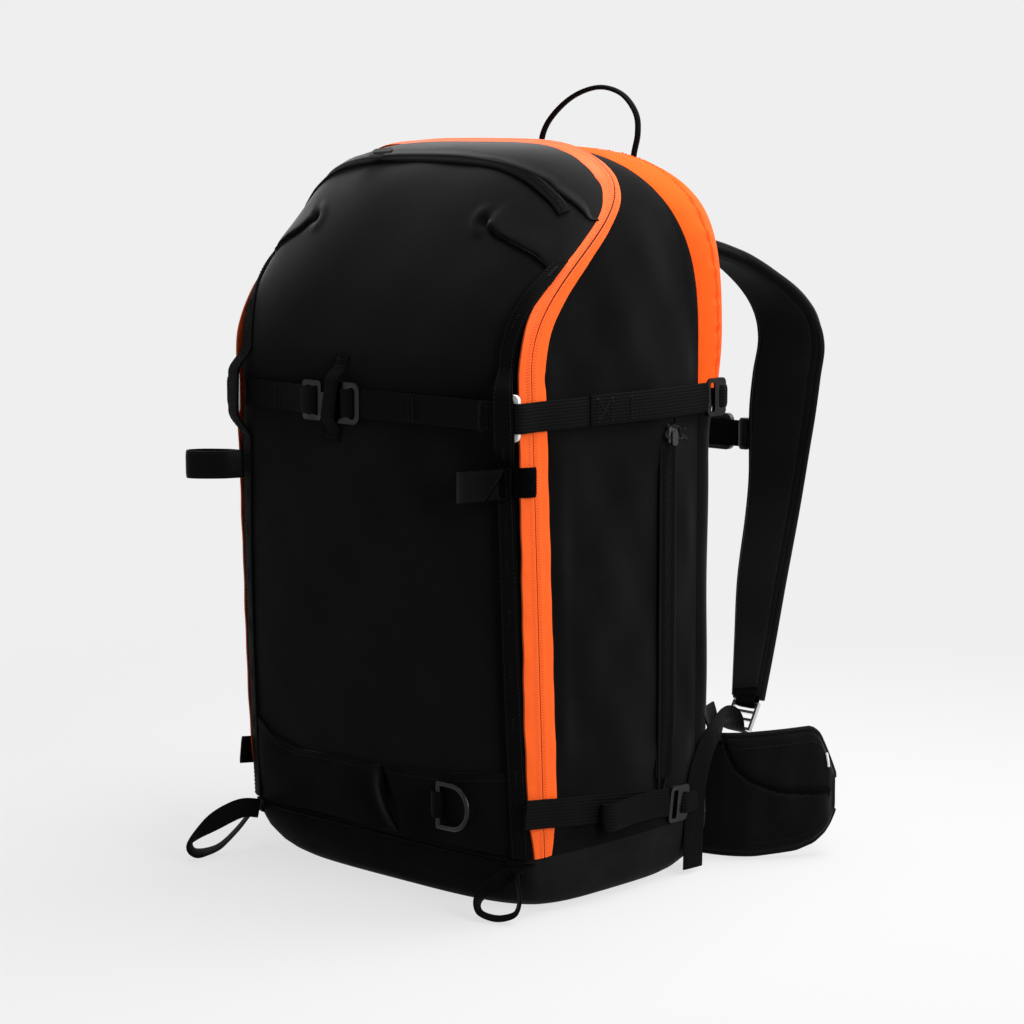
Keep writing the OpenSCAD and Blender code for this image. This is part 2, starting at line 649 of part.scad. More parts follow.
// Shoulder straps from two edge lines each, their heights shared out from the pad's end to its root
function up(k) = lerp(pad_end_z, root_z, k);
s_in = smooth([[42, rear_y + 4.3, up(1)], [46, rear_y + 32, up(1.027)], [54, chest_y - 47, up(1.003)],
    [62, chest_y - 19, up(0.94)], [chest_x + 3.5, chest_y - 3, up(0.868)],
    [chest_x + 7, chest_y + 1, up(0.796)], [chest_x + 3, chest_y, up(0.715)], [chest_x, chest_y, up(0.634)],
    [chest_x, chest_y, up(0.553)], [chest_x, chest_y, up(0.471)], [chest_x + 1, chest_y - 5, up(0.384)],
    [chest_x + 6, chest_y - 20, up(0.249)], [chest_x + 15, chest_y - 34, up(0.117)],
    [chest_x + 27, chest_y - 51, pad_end_z]], 3);
s_end = chest_x + strap_w;
s_out = smooth([[86, rear_y + 4.3, up(0.994)], [92, rear_y + 32, up(1.009)], [102, chest_y - 47, up(0.976)],
    [s_end - 12, chest_y - 19, up(0.916)], [s_end, chest_y - 3, up(0.853)], [s_end + 5.5, chest_y + 1, up(0.79)],
    [s_end + 3, chest_y, up(0.715)], [s_end - 1, chest_y, up(0.634)], [s_end - 6, chest_y, up(0.553)],
    [s_end - 11, chest_y, up(0.471)], [s_end - 13, chest_y - 5, up(0.384)],
    [s_end - 11.5, chest_y - 20, up(0.249)], [s_end - 10, chest_y - 34, up(0.117)],
    [s_end - 6, chest_y - 51, pad_end_z]], 3);

buckle_x = chest_x + 42;
buckle_p = [buckle_x, chest_y - 54, pad_end_z - 3.6];
bar_d = 3;
module at_buckle() {
    translate(buckle_p) rotate([-30, 0, 0]) children();
}

// The pad ends in a sewn loop that holds the buckle's top bar
module shoulder_strap_right() {
    color("#1c1d20") {
        padded(s_in, s_out, strap_t);
        at_buckle() translate([-8, 0, 0]) rotate([90, 0, 90]) linear_extrude(height = 16) difference() {
            union() {
                circle(d = bar_d + 3, $fn = 48);
                translate([-1.2, 0]) square([2.4, 7]);
            }
            circle(d = bar_d + run_gap, $fn = 48);
        }
    }
}

module shoulder_strap_left() {
    left() shoulder_strap_right();
}

module strap_buckle_right() {
    color("#9a9da2")
    at_buckle() {
        translate([-12, 0, 0]) rotate([0, 90, 0]) cylinder(d = bar_d, h = 24, $fn = 48);
        for (x = [-12, 10]) {
            translate([x, -bar_d / 2, -21]) cube([2, bar_d, 21]);
        }
        for (z = [-8, -14, -21]) {
            translate([-12, -bar_d / 2, z]) cube([24, bar_d, 2]);
        }
    }
}

module strap_buckle_left() {
    left() strap_buckle_right();
}

// Strap webbing from the buckle over the hip fin to the pack's back edge, ending in a hanging tail
module strap_webbing_right() {
    run = smooth([[buckle_x, 149.2, 84.4], [buckle_x + 2, 142, 88], [buckle_x + 8, 131, 96],
        [buckle_x + 16, 117, 101],
        [buckle_x + 24, 101, 101], [zip_w - 1.5, 84, 95], [zip_w + 1, 71.5, 83], [zip_w + 1.6, 63.5, 63],
        [zip_w + 1.6, 60.5, 32], [zip_w + 1.6, 59.5, 3]], 3);
    face = [for (i = [0 : len(run) - 1]) unit([1, lerp(0.42, 0, min(1, i / 15)), 0])];
    wide = [for (i = [0 : len(run) - 1]) lerp([-1, 0, 0], cross(face[i], run_dir(run, i)),
        ease((i - 1) / 8))];
    color("#141518") band(run, wide, 21, web_t);
}

module strap_webbing_left() {
    left() strap_webbing_right();
}

module sternum_strap() {
    color("#141518") {
        translate([-chest_x + 8, chest_y - web_t / 2, sternum_z - web_w / 2])
            cube([2 * chest_x - 16, web_t, web_w]);
        for (x = [-1, 1]) {
            translate([x * (chest_x - 5.5), chest_y, sternum_z]) cube([9, 8, web_w + 4], center = true);
        }
    }
}

module sternum_buckle() {
    color("#0e0f11")
    translate([26, chest_y + 1.2, sternum_z]) rotate([90, 0, 180]) linear_extrude(height = 4) difference() {
        rounded(40, web_w + 8, 5);
        translate([12, 0]) rounded(5, web_w + 1, 1.5);
        translate([-12, 0]) rounded(5, web_w + 1, 1.5);
    }
}

// Hip fins turning at the lumbar pad
fin_path = smooth([[fin_x, fin_y], [fin_x + 24, fin_y + 1], [fin_x + 48, fin_y + 10],
    [fin_x + 67, fin_y + 30], [fin_x + 81, fin_y + 52], [fin_x + 89, fin_y + 70]], 3);
function fin_low(k) = 2 + 6 * pow(k, 4);
function fin_high(k) = lerp(fin_top - 13, fin_top, ease((k - 0.25) / 0.35)) - 14 * pow(k, 9);
function fin_shift(j) = let (n = len(fin_path) - 1,
    t = unit(fin_path[min(j + 1, n)] - fin_path[max(j - 1, 0)])) [t[1], -t[0]];
module hip_fin_right() {
    n = len(fin_path) - 1;
    g = [for (v = [0, 0.12, 0.5, 0.88, 1]) [for (j = [n : -1 : 0]) let (k = j / n,
        s = fin_shift(j) * fin_t / 2,
        p = fin_path[j] + s * (v == 0 || v == 1 ? 0.5 : 1)) [p[0], p[1], lerp(fin_low(k), fin_high(k), v)]]];
    h = [for (v = [0, 0.12, 0.5, 0.88, 1]) [for (j = [n : -1 : 0]) let (k = j / n,
        s = fin_shift(j) * fin_t / 2,
        p = fin_path[j] - s * (v == 0 || v == 1 ? 0.5 : 1)) [p[0], p[1], lerp(fin_low(k), fin_high(k), v)]]];
    color("#1c1d20") {
        slab(g, h);
        translate([fin_x, fin_y, 16]) cylinder(d = fin_t, h = 66, $fn = 48);
        tip = smooth([[fin_x + 84, fin_y + 62, 48], [fin_x + 83, fin_y + 75, 48], [fin_x + 70, fin_y + 87, 47],
            [fin_x + 50, fin_y + 96, 46]], 3);
        band(tip, [0, 0, 1], 30, web_t + 0.4);
    }
}

module hip_fin_left() {
    left() hip_fin_right();
}

module hip_buckle_right() {
    color("#0e0f11")
    translate([fin_x + 30.5, fin_y + 104.8, 46]) rotate([90, 0, -24.2])
    translate([0, 0, -4]) linear_extrude(height = 8) difference() {
        rounded(40, 40, 6);
        translate([13, 0]) rounded(6, 33, 2);
    }
}

module hip_buckle_left() {
    color("#0e0f11")
    translate([-fin_x - 30.5, fin_y + 104.8, 46]) rotate([90, 0, 24.2])
    translate([0, 0, -4]) linear_extrude(height = 8) difference() {
        rounded(40, 40, 6);
        translate([-13, 0]) rounded(6, 33, 2);
    }
}

// Airbag system inside the body
module folded_airbag() {
    cols = [0.12, 0.5, 0.88];
    right = [for (i = [0 : rows]) [for (v = cols) gusset_pt(i, v)]];
    mid = [for (v = cols) lerp(rear_mid, cover_mid, v) + cover_belly * sin(180 * v) * unit([0, 0.4, 1])];
    g = over(leg_rows, right, mid);
    color("#e8521a") panel(g, -shell_t - 0.7, -shell_t - 20);
}

module inflation_unit() {
    color("#8a8d92")
    difference() {
        union() {
            translate([unit_x - 26, unit_y - 20, unit_z]) cube([52, 40, unit_h]);
            translate([unit_x, unit_y, unit_z - 14]) cylinder(d = neck_d + 12, h = 15, $fn = 64);
            translate([unit_x + 14, unit_y - 12, unit_z + unit_h]) cube([12, 6, 16]);
            translate([unit_x + 14, unit_y + 6, unit_z + unit_h]) cube([12, 6, 16]);
            translate([unit_x + 20, unit_y - 12, unit_z + unit_h + 9]) rotate([-90, 0, 0])
                cylinder(d = pivot_d, h = 24, $fn = 48);
            translate([unit_x + 26, unit_y, unit_z + 24]) rotate([0, 90, 0])
                cylinder(d = 26, h = 14, $fn = 64);
        }
        translate([unit_x, unit_y, unit_z - 15]) cylinder(d = neck_d + 2 * run_gap, h = 19, $fn = 64);
        translate([unit_x, unit_y, unit_z]) cylinder(d = pierce_d + run_gap, h = unit_h + 1, $fn = 64);
        translate([unit_x + 20, unit_y, unit_z + 24]) rotate([0, 90, 0]) cylinder(d = 20, h = 30, $fn = 64);
        for (a = [0 : 60 : 300]) {
            translate([unit_x + 12 * cos(a), unit_y - 21, unit_z + 24 + 12 * sin(a)]) rotate([-90, 0, 0])
                cylinder(d = 7, h = 6, $fn = 32);
        }
    }
}

module piercing_pin() {
    color("#c9ccd0")
    translate([unit_x, unit_y, unit_z + 16]) {
        translate([0, 0, 8]) cylinder(d = pierce_d, h = unit_h - 20, $fn = 64);
        cylinder(d1 = 2, d2 = pierce_d, h = 8, $fn = 64);
    }
}

module release_lever() {
    color("#b6302a")
    translate([unit_x + 20, unit_y - 5.6, unit_z + unit_h + 9])
    rotate([-90, 0, 0]) linear_extrude(height = 11.2) difference() {
        union() {
            circle(d = pivot_d + 7, $fn = 48);
            translate([-24, -4]) square([24, 7]);
            translate([0, -6.4]) square([22, 6]);
        }
        circle(d = pivot_d + run_gap, $fn = 48);
    }
}

gas_wall = 4;
function gas_edge(r, low, high) = concat(
    [for (a = [-90 : 15 : 0]) [r - 8 + 8 * cos(a), low + 8 + 8 * sin(a)]],
    [for (a = [10 : 10 : 70]) [neck_d / 2 + (r - neck_d / 2) * cos(a), high - 28 + 26 * sin(a)]]);
module cartridge() {
    color("#a7aab0")
    translate([unit_x, unit_y, gas_z]) rotate_extrude($fn = 96) polygon(concat(
        [[0, 0]], gas_edge(gas_d / 2, 0, gas_l),
        [[neck_d / 2, gas_l], [neck_d / 2, gas_l + 12], [3, gas_l + 12], [3, gas_l - 5]],
        back_to_front(gas_edge(gas_d / 2 - gas_wall, gas_wall, gas_l - gas_wall)), [[0, gas_wall]]));
}

module cartridge_strap() {
    color("#141518")
    translate([unit_x, unit_y, gas_z + 60]) linear_extrude(height = 25) difference() {
        union() {
            circle(d = gas_d + 4.2, $fn = 64);
            translate([-14, 0]) square([28, back_y - shell_t - gap - 2.3 - unit_y]);
        }
        circle(d = gas_d + 1, $fn = 64);
    }
}

// Release cable from the handle through the left strap to the lever
s_mid = [for (i = [0 : len(s_in) - 1]) flip((s_in[i] + s_out[i]) / 2)];
handle_x = -chest_x - strap_w / 2;
handle_y = chest_y + strap_t / 2 + 7;
handle_z = up(0.5796);
module release_cable() {
    run = smooth(concat(
        [[handle_x, handle_y, handle_z + 52], [handle_x, handle_y - 1, handle_z + 60],
            [handle_x, handle_y - 8, handle_z + 70]],
        [for (i = [13 : -2 : 1]) s_mid[i]],
        [[-64, rear_y - 8, root_z - 2], [-66, rear_y - 26, root_z - 10], [-62, unit_y + 16, root_z - 16],
            [-44, unit_y + 4, root_z - 24], [unit_x + 37, unit_y, unit_z + unit_h + 23]]), 2);
    color("#2a2b2e") cord(run, 5, 8);
}

module handle_sheath() {
    color("#141518")
    translate([handle_x, handle_y, handle_z]) difference() {
        translate([-17, -6.6, 0]) cube([34, 13.2, 50]);
        translate([-14, -4.6, -1]) cube([28, 9.2, 48]);
    }
}

module release_handle() {
    color("#d8261c")
    translate([handle_x, handle_y, handle_z - 16]) {
        translate([-8, -4, 0]) cube([16, 8, 62]);
        translate([-22, 0, 0]) rotate([0, 90, 0]) cylinder(d = 13, h = 44, $fn = 48);
    }
}

base_tub();
side_panel_right();
side_panel_left();
top_panel();
airbag_cover();
back_panel();
frame_sheet();
back_pad_right();
back_pad_left();
lumbar_pad();
zip_tape_body();
zip_tape_door();
front_panel();
front_zip_slider();
pocket_zip_tape();
pocket_zip_slider();
daisy_right();
daisy_left();
front_strap();
front_hook();
edge_ring_right();
edge_ring_left();
tool_tab_right();
tool_tab_left();
d_ring();
d_ring_keeper();
side_zip_tape();
side_zip_slider();
upper_strap_right();
upper_strap_left();
lower_strap_right();
lower_strap_left();
upper_hook_right();
upper_hook_left();
lower_hook_right();
lower_hook_left();
axe_loop_right();
axe_loop_left();
haul_loop();
shoulder_strap_right();
shoulder_strap_left();
strap_buckle_right();
strap_buckle_left();
strap_webbing_right();
strap_webbing_left();
sternum_strap();
sternum_buckle();
hip_fin_right();
hip_fin_left();
hip_buckle_right();
hip_buckle_left();
folded_airbag();
inflation_unit();
piercing_pin();
release_lever();
cartridge();
cartridge_strap();
release_cable();
handle_sheath();
release_handle();
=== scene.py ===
"""Looks of the avalanche airbag backpack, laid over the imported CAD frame.

Lengths are millimetres in the part's own frame: origin under the middle of the base, Z up,
front face toward -Y, wearer toward +Y. build() turns them into metres.
"""
import math

import bmesh
import bpy
import numpy as np
from mathutils import Matrix, Vector


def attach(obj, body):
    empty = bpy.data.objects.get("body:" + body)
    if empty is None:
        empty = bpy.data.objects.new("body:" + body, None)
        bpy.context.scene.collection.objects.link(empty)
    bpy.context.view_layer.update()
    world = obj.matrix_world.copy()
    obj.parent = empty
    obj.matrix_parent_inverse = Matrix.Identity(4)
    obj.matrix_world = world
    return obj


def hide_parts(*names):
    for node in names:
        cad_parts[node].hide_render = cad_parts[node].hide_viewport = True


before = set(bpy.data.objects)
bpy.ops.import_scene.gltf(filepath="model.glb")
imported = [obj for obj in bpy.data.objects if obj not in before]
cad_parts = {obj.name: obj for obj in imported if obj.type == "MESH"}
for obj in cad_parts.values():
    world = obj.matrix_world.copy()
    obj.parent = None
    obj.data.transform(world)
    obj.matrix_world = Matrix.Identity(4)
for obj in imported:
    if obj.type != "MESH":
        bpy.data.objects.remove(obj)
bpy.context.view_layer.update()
MM = 0.001

# Driving sizes, as in the part's source
BODY_W, BODY_H = 280.0, 520.0
SHOULDER_Z, SEAM_Z = 368.0, 40.0
FRONT_Y, FRONT_BELLY = 117.0, 7.0
ZIP_Y, ZIP_LEAN, ZIP_LAG = 97.0, 13.0, 1.3
BACK_Y, REAR_Y = 86.0, 102.0
SIDE_BELLY, COVER_BELLY = 4.0, 5.0
COVER_Z, COVER_Y = 346.0, 64.0
ARCH_N, ARCH_END, CREST_Y = 4.0, 82.0, -7.0
SHELL = 2.6
WEB_W, WEB_T, TAPE_W = 20.0, 1.6, 13.0
STRAP_Z, TAB_Z, TAB_L, TAB_DROP, TAB_TURN = 341.0, 294.0, 44.0, 5.5, 35.5
CHEST_Y, CHEST_X, PAD_W, PAD_T = 215.0, 66.5, 61.0, 12.0
STERNUM_Z = 298.0
FIN_TOP, FIN_T, FIN_X = 95.0, 11.0, 92.0
FIN_Y = BACK_Y + 17
ZIP_W = BODY_W / 2
COVER_W, COVER_TOP = ZIP_W - 1, BODY_H - 3
REAR_W, REAR_TOP = ZIP_W - 12, BODY_H - 22
SIDE_END = 1.507        # share of the arch where the side fabric meets the top fabric
LEG_END = (COVER_Z - SEAM_Z) / (SHOULDER_Z - SEAM_Z)
SIDES = (("right", 1), ("left", -1))       # name and sign of x
UPRIGHT = (0, 0, 1)


# Curves and surfaces
def lerp(a, b, t):
    return a + (b - a) * t


def ease(t):
    c = np.clip(t, 0, 1)
    return c * c * (3 - 2 * c)


def unit(v):
    v = np.asarray(v, float)
    return v / (np.linalg.norm(v, axis=-1, keepdims=True) + 1e-12)


def flip(p):
    return np.asarray(p, float) * (-1, 1, 1)


def bell(x, width):
    return np.exp(-(x / width)**2)


def points(x, y, z):
    """Points from coordinates that are arrays or single numbers."""
    return np.stack(np.broadcast_arrays(x, y, z), axis=-1)


def run_along(path):
    """Length of a path up to each of its points."""
    return np.concatenate([[0], np.cumsum(np.linalg.norm(np.diff(path, axis=0), axis=1))])


def between(at, known, path):
    """Points of a path at new places, linear between the known ones."""
    return np.stack([np.interp(at, known, path[:, k]) for k in range(3)], axis=-1)


def smooth(points, steps):
    """Catmull-Rom curve through the points."""
    p = np.asarray(points, float)
    out = []
    for i in range(len(p) - 1):
        a, b, c, d = p[max(i - 1, 0)], p[i], p[i + 1], p[min(i + 2, len(p) - 1)]
        for t in np.arange(steps) / steps:
            out.append(0.5 * (2 * b + (c - a) * t + (2 * a - 5 * b + 4 * c - d) * t**2
                              + (3 * b - a - 3 * c + d) * t**3))
    return np.array(out + [p[-1]])


def even(path, step):
    """The same path with points an even step apart."""
    path = np.asarray(path, float)
    run = run_along(path)
    return between(np.linspace(0, run[-1], max(2, int(round(run[-1] / step)) + 1)), run, path)


def round_r(a, n):
    return (np.abs(np.cos(a))**n + np.abs(np.sin(a))**n)**(-1 / n)


def ripple(a, b, waves):
    """Sum of sines over two coordinates; waves holds (height, period a, period b, phase)."""
    return sum(h * np.sin(2 * np.pi * (a / pa + b / pb) + ph) for h, pa, pb, ph in waves)


def zip_y_at(z):
    leg = -ZIP_Y - ZIP_LEAN * np.minimum(1, (z - SEAM_Z) / (SHOULDER_Z - SEAM_Z))
    rise = np.maximum(0, (z - SHOULDER_Z + 2) / (BODY_H - 20 - SHOULDER_Z))
    return lerp(leg, CREST_Y, ease(rise**ZIP_LAG))


def arch_xz(s, half, top):
    """Half arch: s from 0 at the seam over 1 at the shoulder to 2 at the crest."""
    s = np.asarray(s, float)
    a = np.radians(90 * np.clip(s - 1, 0, 1))
    r = round_r(a, ARCH_N)
    z = np.where(s <= 1, lerp(SEAM_Z, SHOULDER_Z, s), SHOULDER_Z + (top - SHOULDER_Z) * r * np.sin(a))
    return half * r * np.cos(a), z


def zip_line(s):
    x, z = arch_xz(s, ZIP_W, BODY_H)
    return points(x, zip_y_at(z), z)


def cover_line(s):
    x, z = arch_xz(s, COVER_W, COVER_TOP)
    y = lerp(COVER_Y, CREST_Y + 15, np.clip((z - SHOULDER_Z) / (COVER_TOP - SHOULDER_Z), 0, 1)**3)
    return points(x, y, z)


def rear_y(z):
    return lerp(BACK_Y, REAR_Y, ease((z - COVER_Z + 50) / 90))


def rear_line(s):
    x, z = arch_xz(s, REAR_W, REAR_TOP)
    return points(x, rear_y(z), z)


def arch_out(s):
    a = np.radians(90 * np.clip(np.asarray(s, float) - 1, 0, 1))
    return points(np.cos(a), 0, np.sin(a))


def side_point(s, v):
    a, b = cover_line(s), zip_line(s)
    swell = np.minimum(SIDE_BELLY, 0.025 * np.linalg.norm(b - a, axis=-1)) * np.sin(np.pi * v)
    return lerp(a, b, np.asarray(v)[..., None]) + swell[..., None] * arch_out(s)


def gusset_point(s, v):
    v = np.asarray(v)[..., None]
    swell = COVER_BELLY * np.sin(np.pi * v) * unit(arch_out(s) + (0, 0.4, 0))
    return lerp(rear_line(s), cover_line(s), v) + swell


def and_back(half):
    return np.concatenate([half, half[::-1][1:]])


def over_arch(surface, half, v):
    """Grid of a surface over the whole arch: its right half, then the mirror image."""
    s = and_back(half)
    grid = surface(*np.broadcast_arrays(s[:, None], v[None]))
    grid[len(half):] = flip(grid[len(half):])
    return grid


def side_x(y):
    v = (np.minimum(y, COVER_Y) - COVER_Y) / (-ZIP_Y - COVER_Y)
    return lerp(COVER_W, ZIP_W, v) + SIDE_BELLY * np.sin(np.pi * np.clip(v, 0, 1))


def front_line(z):
    return -FRONT_Y - FRONT_BELLY * np.sin(np.pi * np.clip((z - SEAM_Z) / (SHOULDER_Z * 1.12), 0, 1))


def front_y(x, z):
    """Front face over the width and height."""
    x, z = np.asarray(x, float), np.asarray(z, float)
    s = np.clip((z - SHOULDER_Z) / (BODY_H - SHOULDER_Z), 0, 1)
    c = (1 - s**ARCH_N)**(1 / ARCH_N)
    k = np.minimum(1, np.degrees(np.arctan2(s, c)) / ARCH_END)
    mid = np.where(z <= SHOULDER_Z, front_line(z),
                   lerp(CREST_Y, front_line(SHOULDER_Z), np.cos(np.pi / 2 * k)))
    n = lerp(4, 2.5, k)
    depth = np.maximum(0, 1 - np.minimum(1, np.abs(x) / (ZIP_W * c + 1e-6))**n)**(1 / n)
    return lerp(zip_y_at(z), mid, depth)


def on_front(x, z, lift=0.0):
    """Points that stand off the front face."""
    x, z = np.broadcast_arrays(np.asarray(x, float), np.asarray(z, float))
    e = 0.4
    dx = (front_y(x + e, z) - front_y(x - e, z)) / (2 * e)
    dz = (front_y(x, z + e) - front_y(x, z - e)) / (2 * e)
    out = unit(points(dx, -1, dz))
    return points(x, front_y(x, z), z) + np.asarray(lift)[..., None] * out


# Mesh making
CREASE_DEG = 38         # edges sharper than this are shaded sharp


def build(name, verts, faces, look, body, nodes, uv):
    name = name + "_cloth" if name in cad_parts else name
    mesh = bpy.data.meshes.new(name)
    mesh.from_pydata((np.asarray(verts) * MM).tolist(), [], faces)
    corner = np.empty(len(mesh.loops), np.int32)
    mesh.loops.foreach_get("vertex_index", corner)
    mesh.uv_layers.new(name="mm").data.foreach_set("uv", np.asarray(uv, np.float32)[corner].ravel())
    bm = bmesh.new()
    bm.from_mesh(mesh)
    bmesh.ops.recalc_face_normals(bm, faces=bm.faces)
    bm.to_mesh(mesh)
    bm.free()
    mesh.shade_smooth()
    mesh.set_sharp_from_angle(angle=math.radians(CREASE_DEG))
    mesh.materials.append(look)
    piece = bpy.data.objects.new(name, mesh)
    bpy.context.scene.collection.objects.link(piece)
    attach(piece, body)
    if nodes:
        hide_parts(*nodes)
    return piece


def grid_faces(m, n, start=0, wrap=False):
    def at(i, j):
        return start + i * n + j % n

    return [(at(i, j), at(i + 1, j), at(i + 1, j + 1), at(i, j + 1))
            for i in range(m - 1) for j in range(n if wrap else n - 1)]


def closed_faces(m, n):
    """Faces of a tube of m rings with n corners each, capped at both ends."""
    return grid_faces(m, n, wrap=True) + [tuple(range(n)), tuple(range((m - 1) * n, m * n))]


def grid_out(grid):
    return unit(np.cross(np.gradient(grid, axis=0), np.gradient(grid, axis=1)))


def grid_uv(grid):
    m, n = grid.shape[:2]
    v = run_along(grid[:, n // 2])
    u = run_along(grid[m // 2])
    return np.stack(np.meshgrid(u - u[-1] / 2, v), axis=-1).reshape(-1, 2)


def sandwich(name, top, low, look, body, nodes=(), uv=None):
    """Closed solid between two grids of the same size."""
    m, n = top.shape[:2]
    half = m * n
    faces = grid_faces(m, n) + [f[::-1] for f in grid_faces(m, n, half)]
    ring = list(range(n)) + [i * n + n - 1 for i in range(1, m)]
    ring += [(m - 1) * n + j for j in range(n - 2, -1, -1)] + [i * n for i in range(m - 2, 0, -1)]
    faces += [(a, b, half + b, half + a) for a, b in zip(ring, ring[1:] + ring[:1])]
    flat = grid_uv(top) if uv is None else np.asarray(uv).reshape(-1, 2)
    return build(name, np.concatenate([top.reshape(-1, 3), low.reshape(-1, 3)]), faces, look, body, nodes,
                 np.concatenate([flat, flat]))


def cloth(name, grid, look, body, nodes=(), thick=SHELL, inward=-1, bulge=None):
    """Fabric panel on a grid; inward says which way its lining lies from the grid's normal."""
    out = grid_out(grid) * -inward
    top = grid if bulge is None else grid + out * bulge[..., None]
    return sandwich(name, top, grid - out * thick, look, body, nodes)


def frames(path, wide):
    """Directions across a path and out of it, from a rough direction of its width."""
    t = unit(np.gradient(path, axis=0))
    w = np.broadcast_to(np.asarray(wide, float), path.shape)
    w = unit(w - t * np.sum(w * t, axis=1, keepdims=True))
    return w, np.cross(t, w)


def band(name, path, wide, width, look, body, nodes=(), thick=WEB_T, step=2.0, across=7):
    """Webbing along a path, its width along the direction wide."""
    wide, path = np.asarray(wide, float), np.asarray(path, float)
    known = np.linspace(0, 1, len(path))
    path = even(path, step)
    if wide.ndim == 2:
        wide = between(np.linspace(0, 1, len(path)), known, wide)
    w, n = frames(path, wide)
    u = np.linspace(-1, 1, across)
    deep = thick / 2 * (1 - 0.6 * np.abs(u)**10)
    mid = path[:, None] + w[:, None] * (u * width / 2)[None, :, None]
    rise = n[:, None] * deep[None, :, None]
    uv = np.stack(np.meshgrid(u * width / 2, run_along(path)), axis=-1)
    return sandwich(name, mid + rise, mid - rise, look, body, nodes, uv)


def tube_parts(path, radius, sides=8, wide=None, flat=1.0):
    path = np.asarray(path, float)
    t = unit(np.gradient(path, axis=0))
    lead = np.array([0, 0, 1.0]) if wide is None else np.asarray(wide, float)
    if wide is None and np.mean(np.abs(t[:, 2])) > 0.8:
        lead = np.array([1.0, 0, 0])
    w = unit(lead - t * (t @ lead)[:, None])
    n = np.cross(t, w)
    a = 2 * np.pi * np.arange(sides) / sides
    r = np.broadcast_to(np.asarray(radius, float), (len(path),))[:, None, None]
    ring = w[:, None] * np.cos(a)[None, :, None] + flat * n[:, None] * np.sin(a)[None, :, None]
    verts = path[:, None] + r * ring
    uv = np.stack(np.meshgrid(a * np.mean(r), run_along(path)), axis=-1).reshape(-1, 2)
    return verts.reshape(-1, 3), closed_faces(len(path), sides), uv


def tube(name, path, diameter, look, body, nodes=(), sides=10, step=3.0, wide=None, flat=1.0):
    verts, faces, uv = tube_parts(even(path, step), diameter / 2, sides, wide, flat)
    return build(name, verts, faces, look, body, nodes, uv)


def merge(name, parts, look, body):
    verts, faces, uvs, count = [], [], [], 0
    for v, f, uv in parts:
        verts.append(v)
        uvs.append(uv)
        faces += [tuple(i + count for i in face) for face in f]
        count += len(v)
    return build(name, np.concatenate(verts), faces, look, body, (), np.concatenate(uvs))


def stitch_parts(path, pitch=3.4, length=2.3, d=0.75, first=0.4):
    """Short thread runs along a path."""
    path = np.asarray(path, float)
    run = run_along(path)
    ends, thin = np.array([0, 0.25, 0.75, 1]) * length, np.array([0.3, 1, 1, 0.3])
    return [tube_parts(between(start + ends, run, path), d / 2 * thin, 6)
            for start in np.arange(first, run[-1] - length, pitch)]


def stitches(name, paths, look, body, **sizes):
    return merge(name, [p for path in paths for p in stitch_parts(path, **sizes)], look, body)


def tack_parts(centre, along, across, out, length, width=1.8, pitch=0.8, radius=0.28, lift=0.1):
    """Bar tack: one close zigzag of thread over webbing."""
    along, across, out = np.asarray(along), np.asarray(across), np.asarray(out)
    zig = [np.asarray(centre) + along * (q - 0.5) * length + across * width / 2 * (-1)**i
           for i, q in enumerate(np.linspace(0, 1, int(length / pitch) + 1))]
    return [tube_parts(np.array(zig) + out * lift, radius, 5)]


# Materials
def add_node(tree, kind, links=(), **values):
    """New shader node; values are its inputs or settings, links are pairs of input and source."""
    n = tree.nodes.new(kind)
    for key, value in values.items():
        if key in n.inputs:
            n.inputs[key].default_value = value
        else:
            setattr(n, key, value)
    for key, source in links:
        tree.links.new(source, n.inputs[key])
    return n


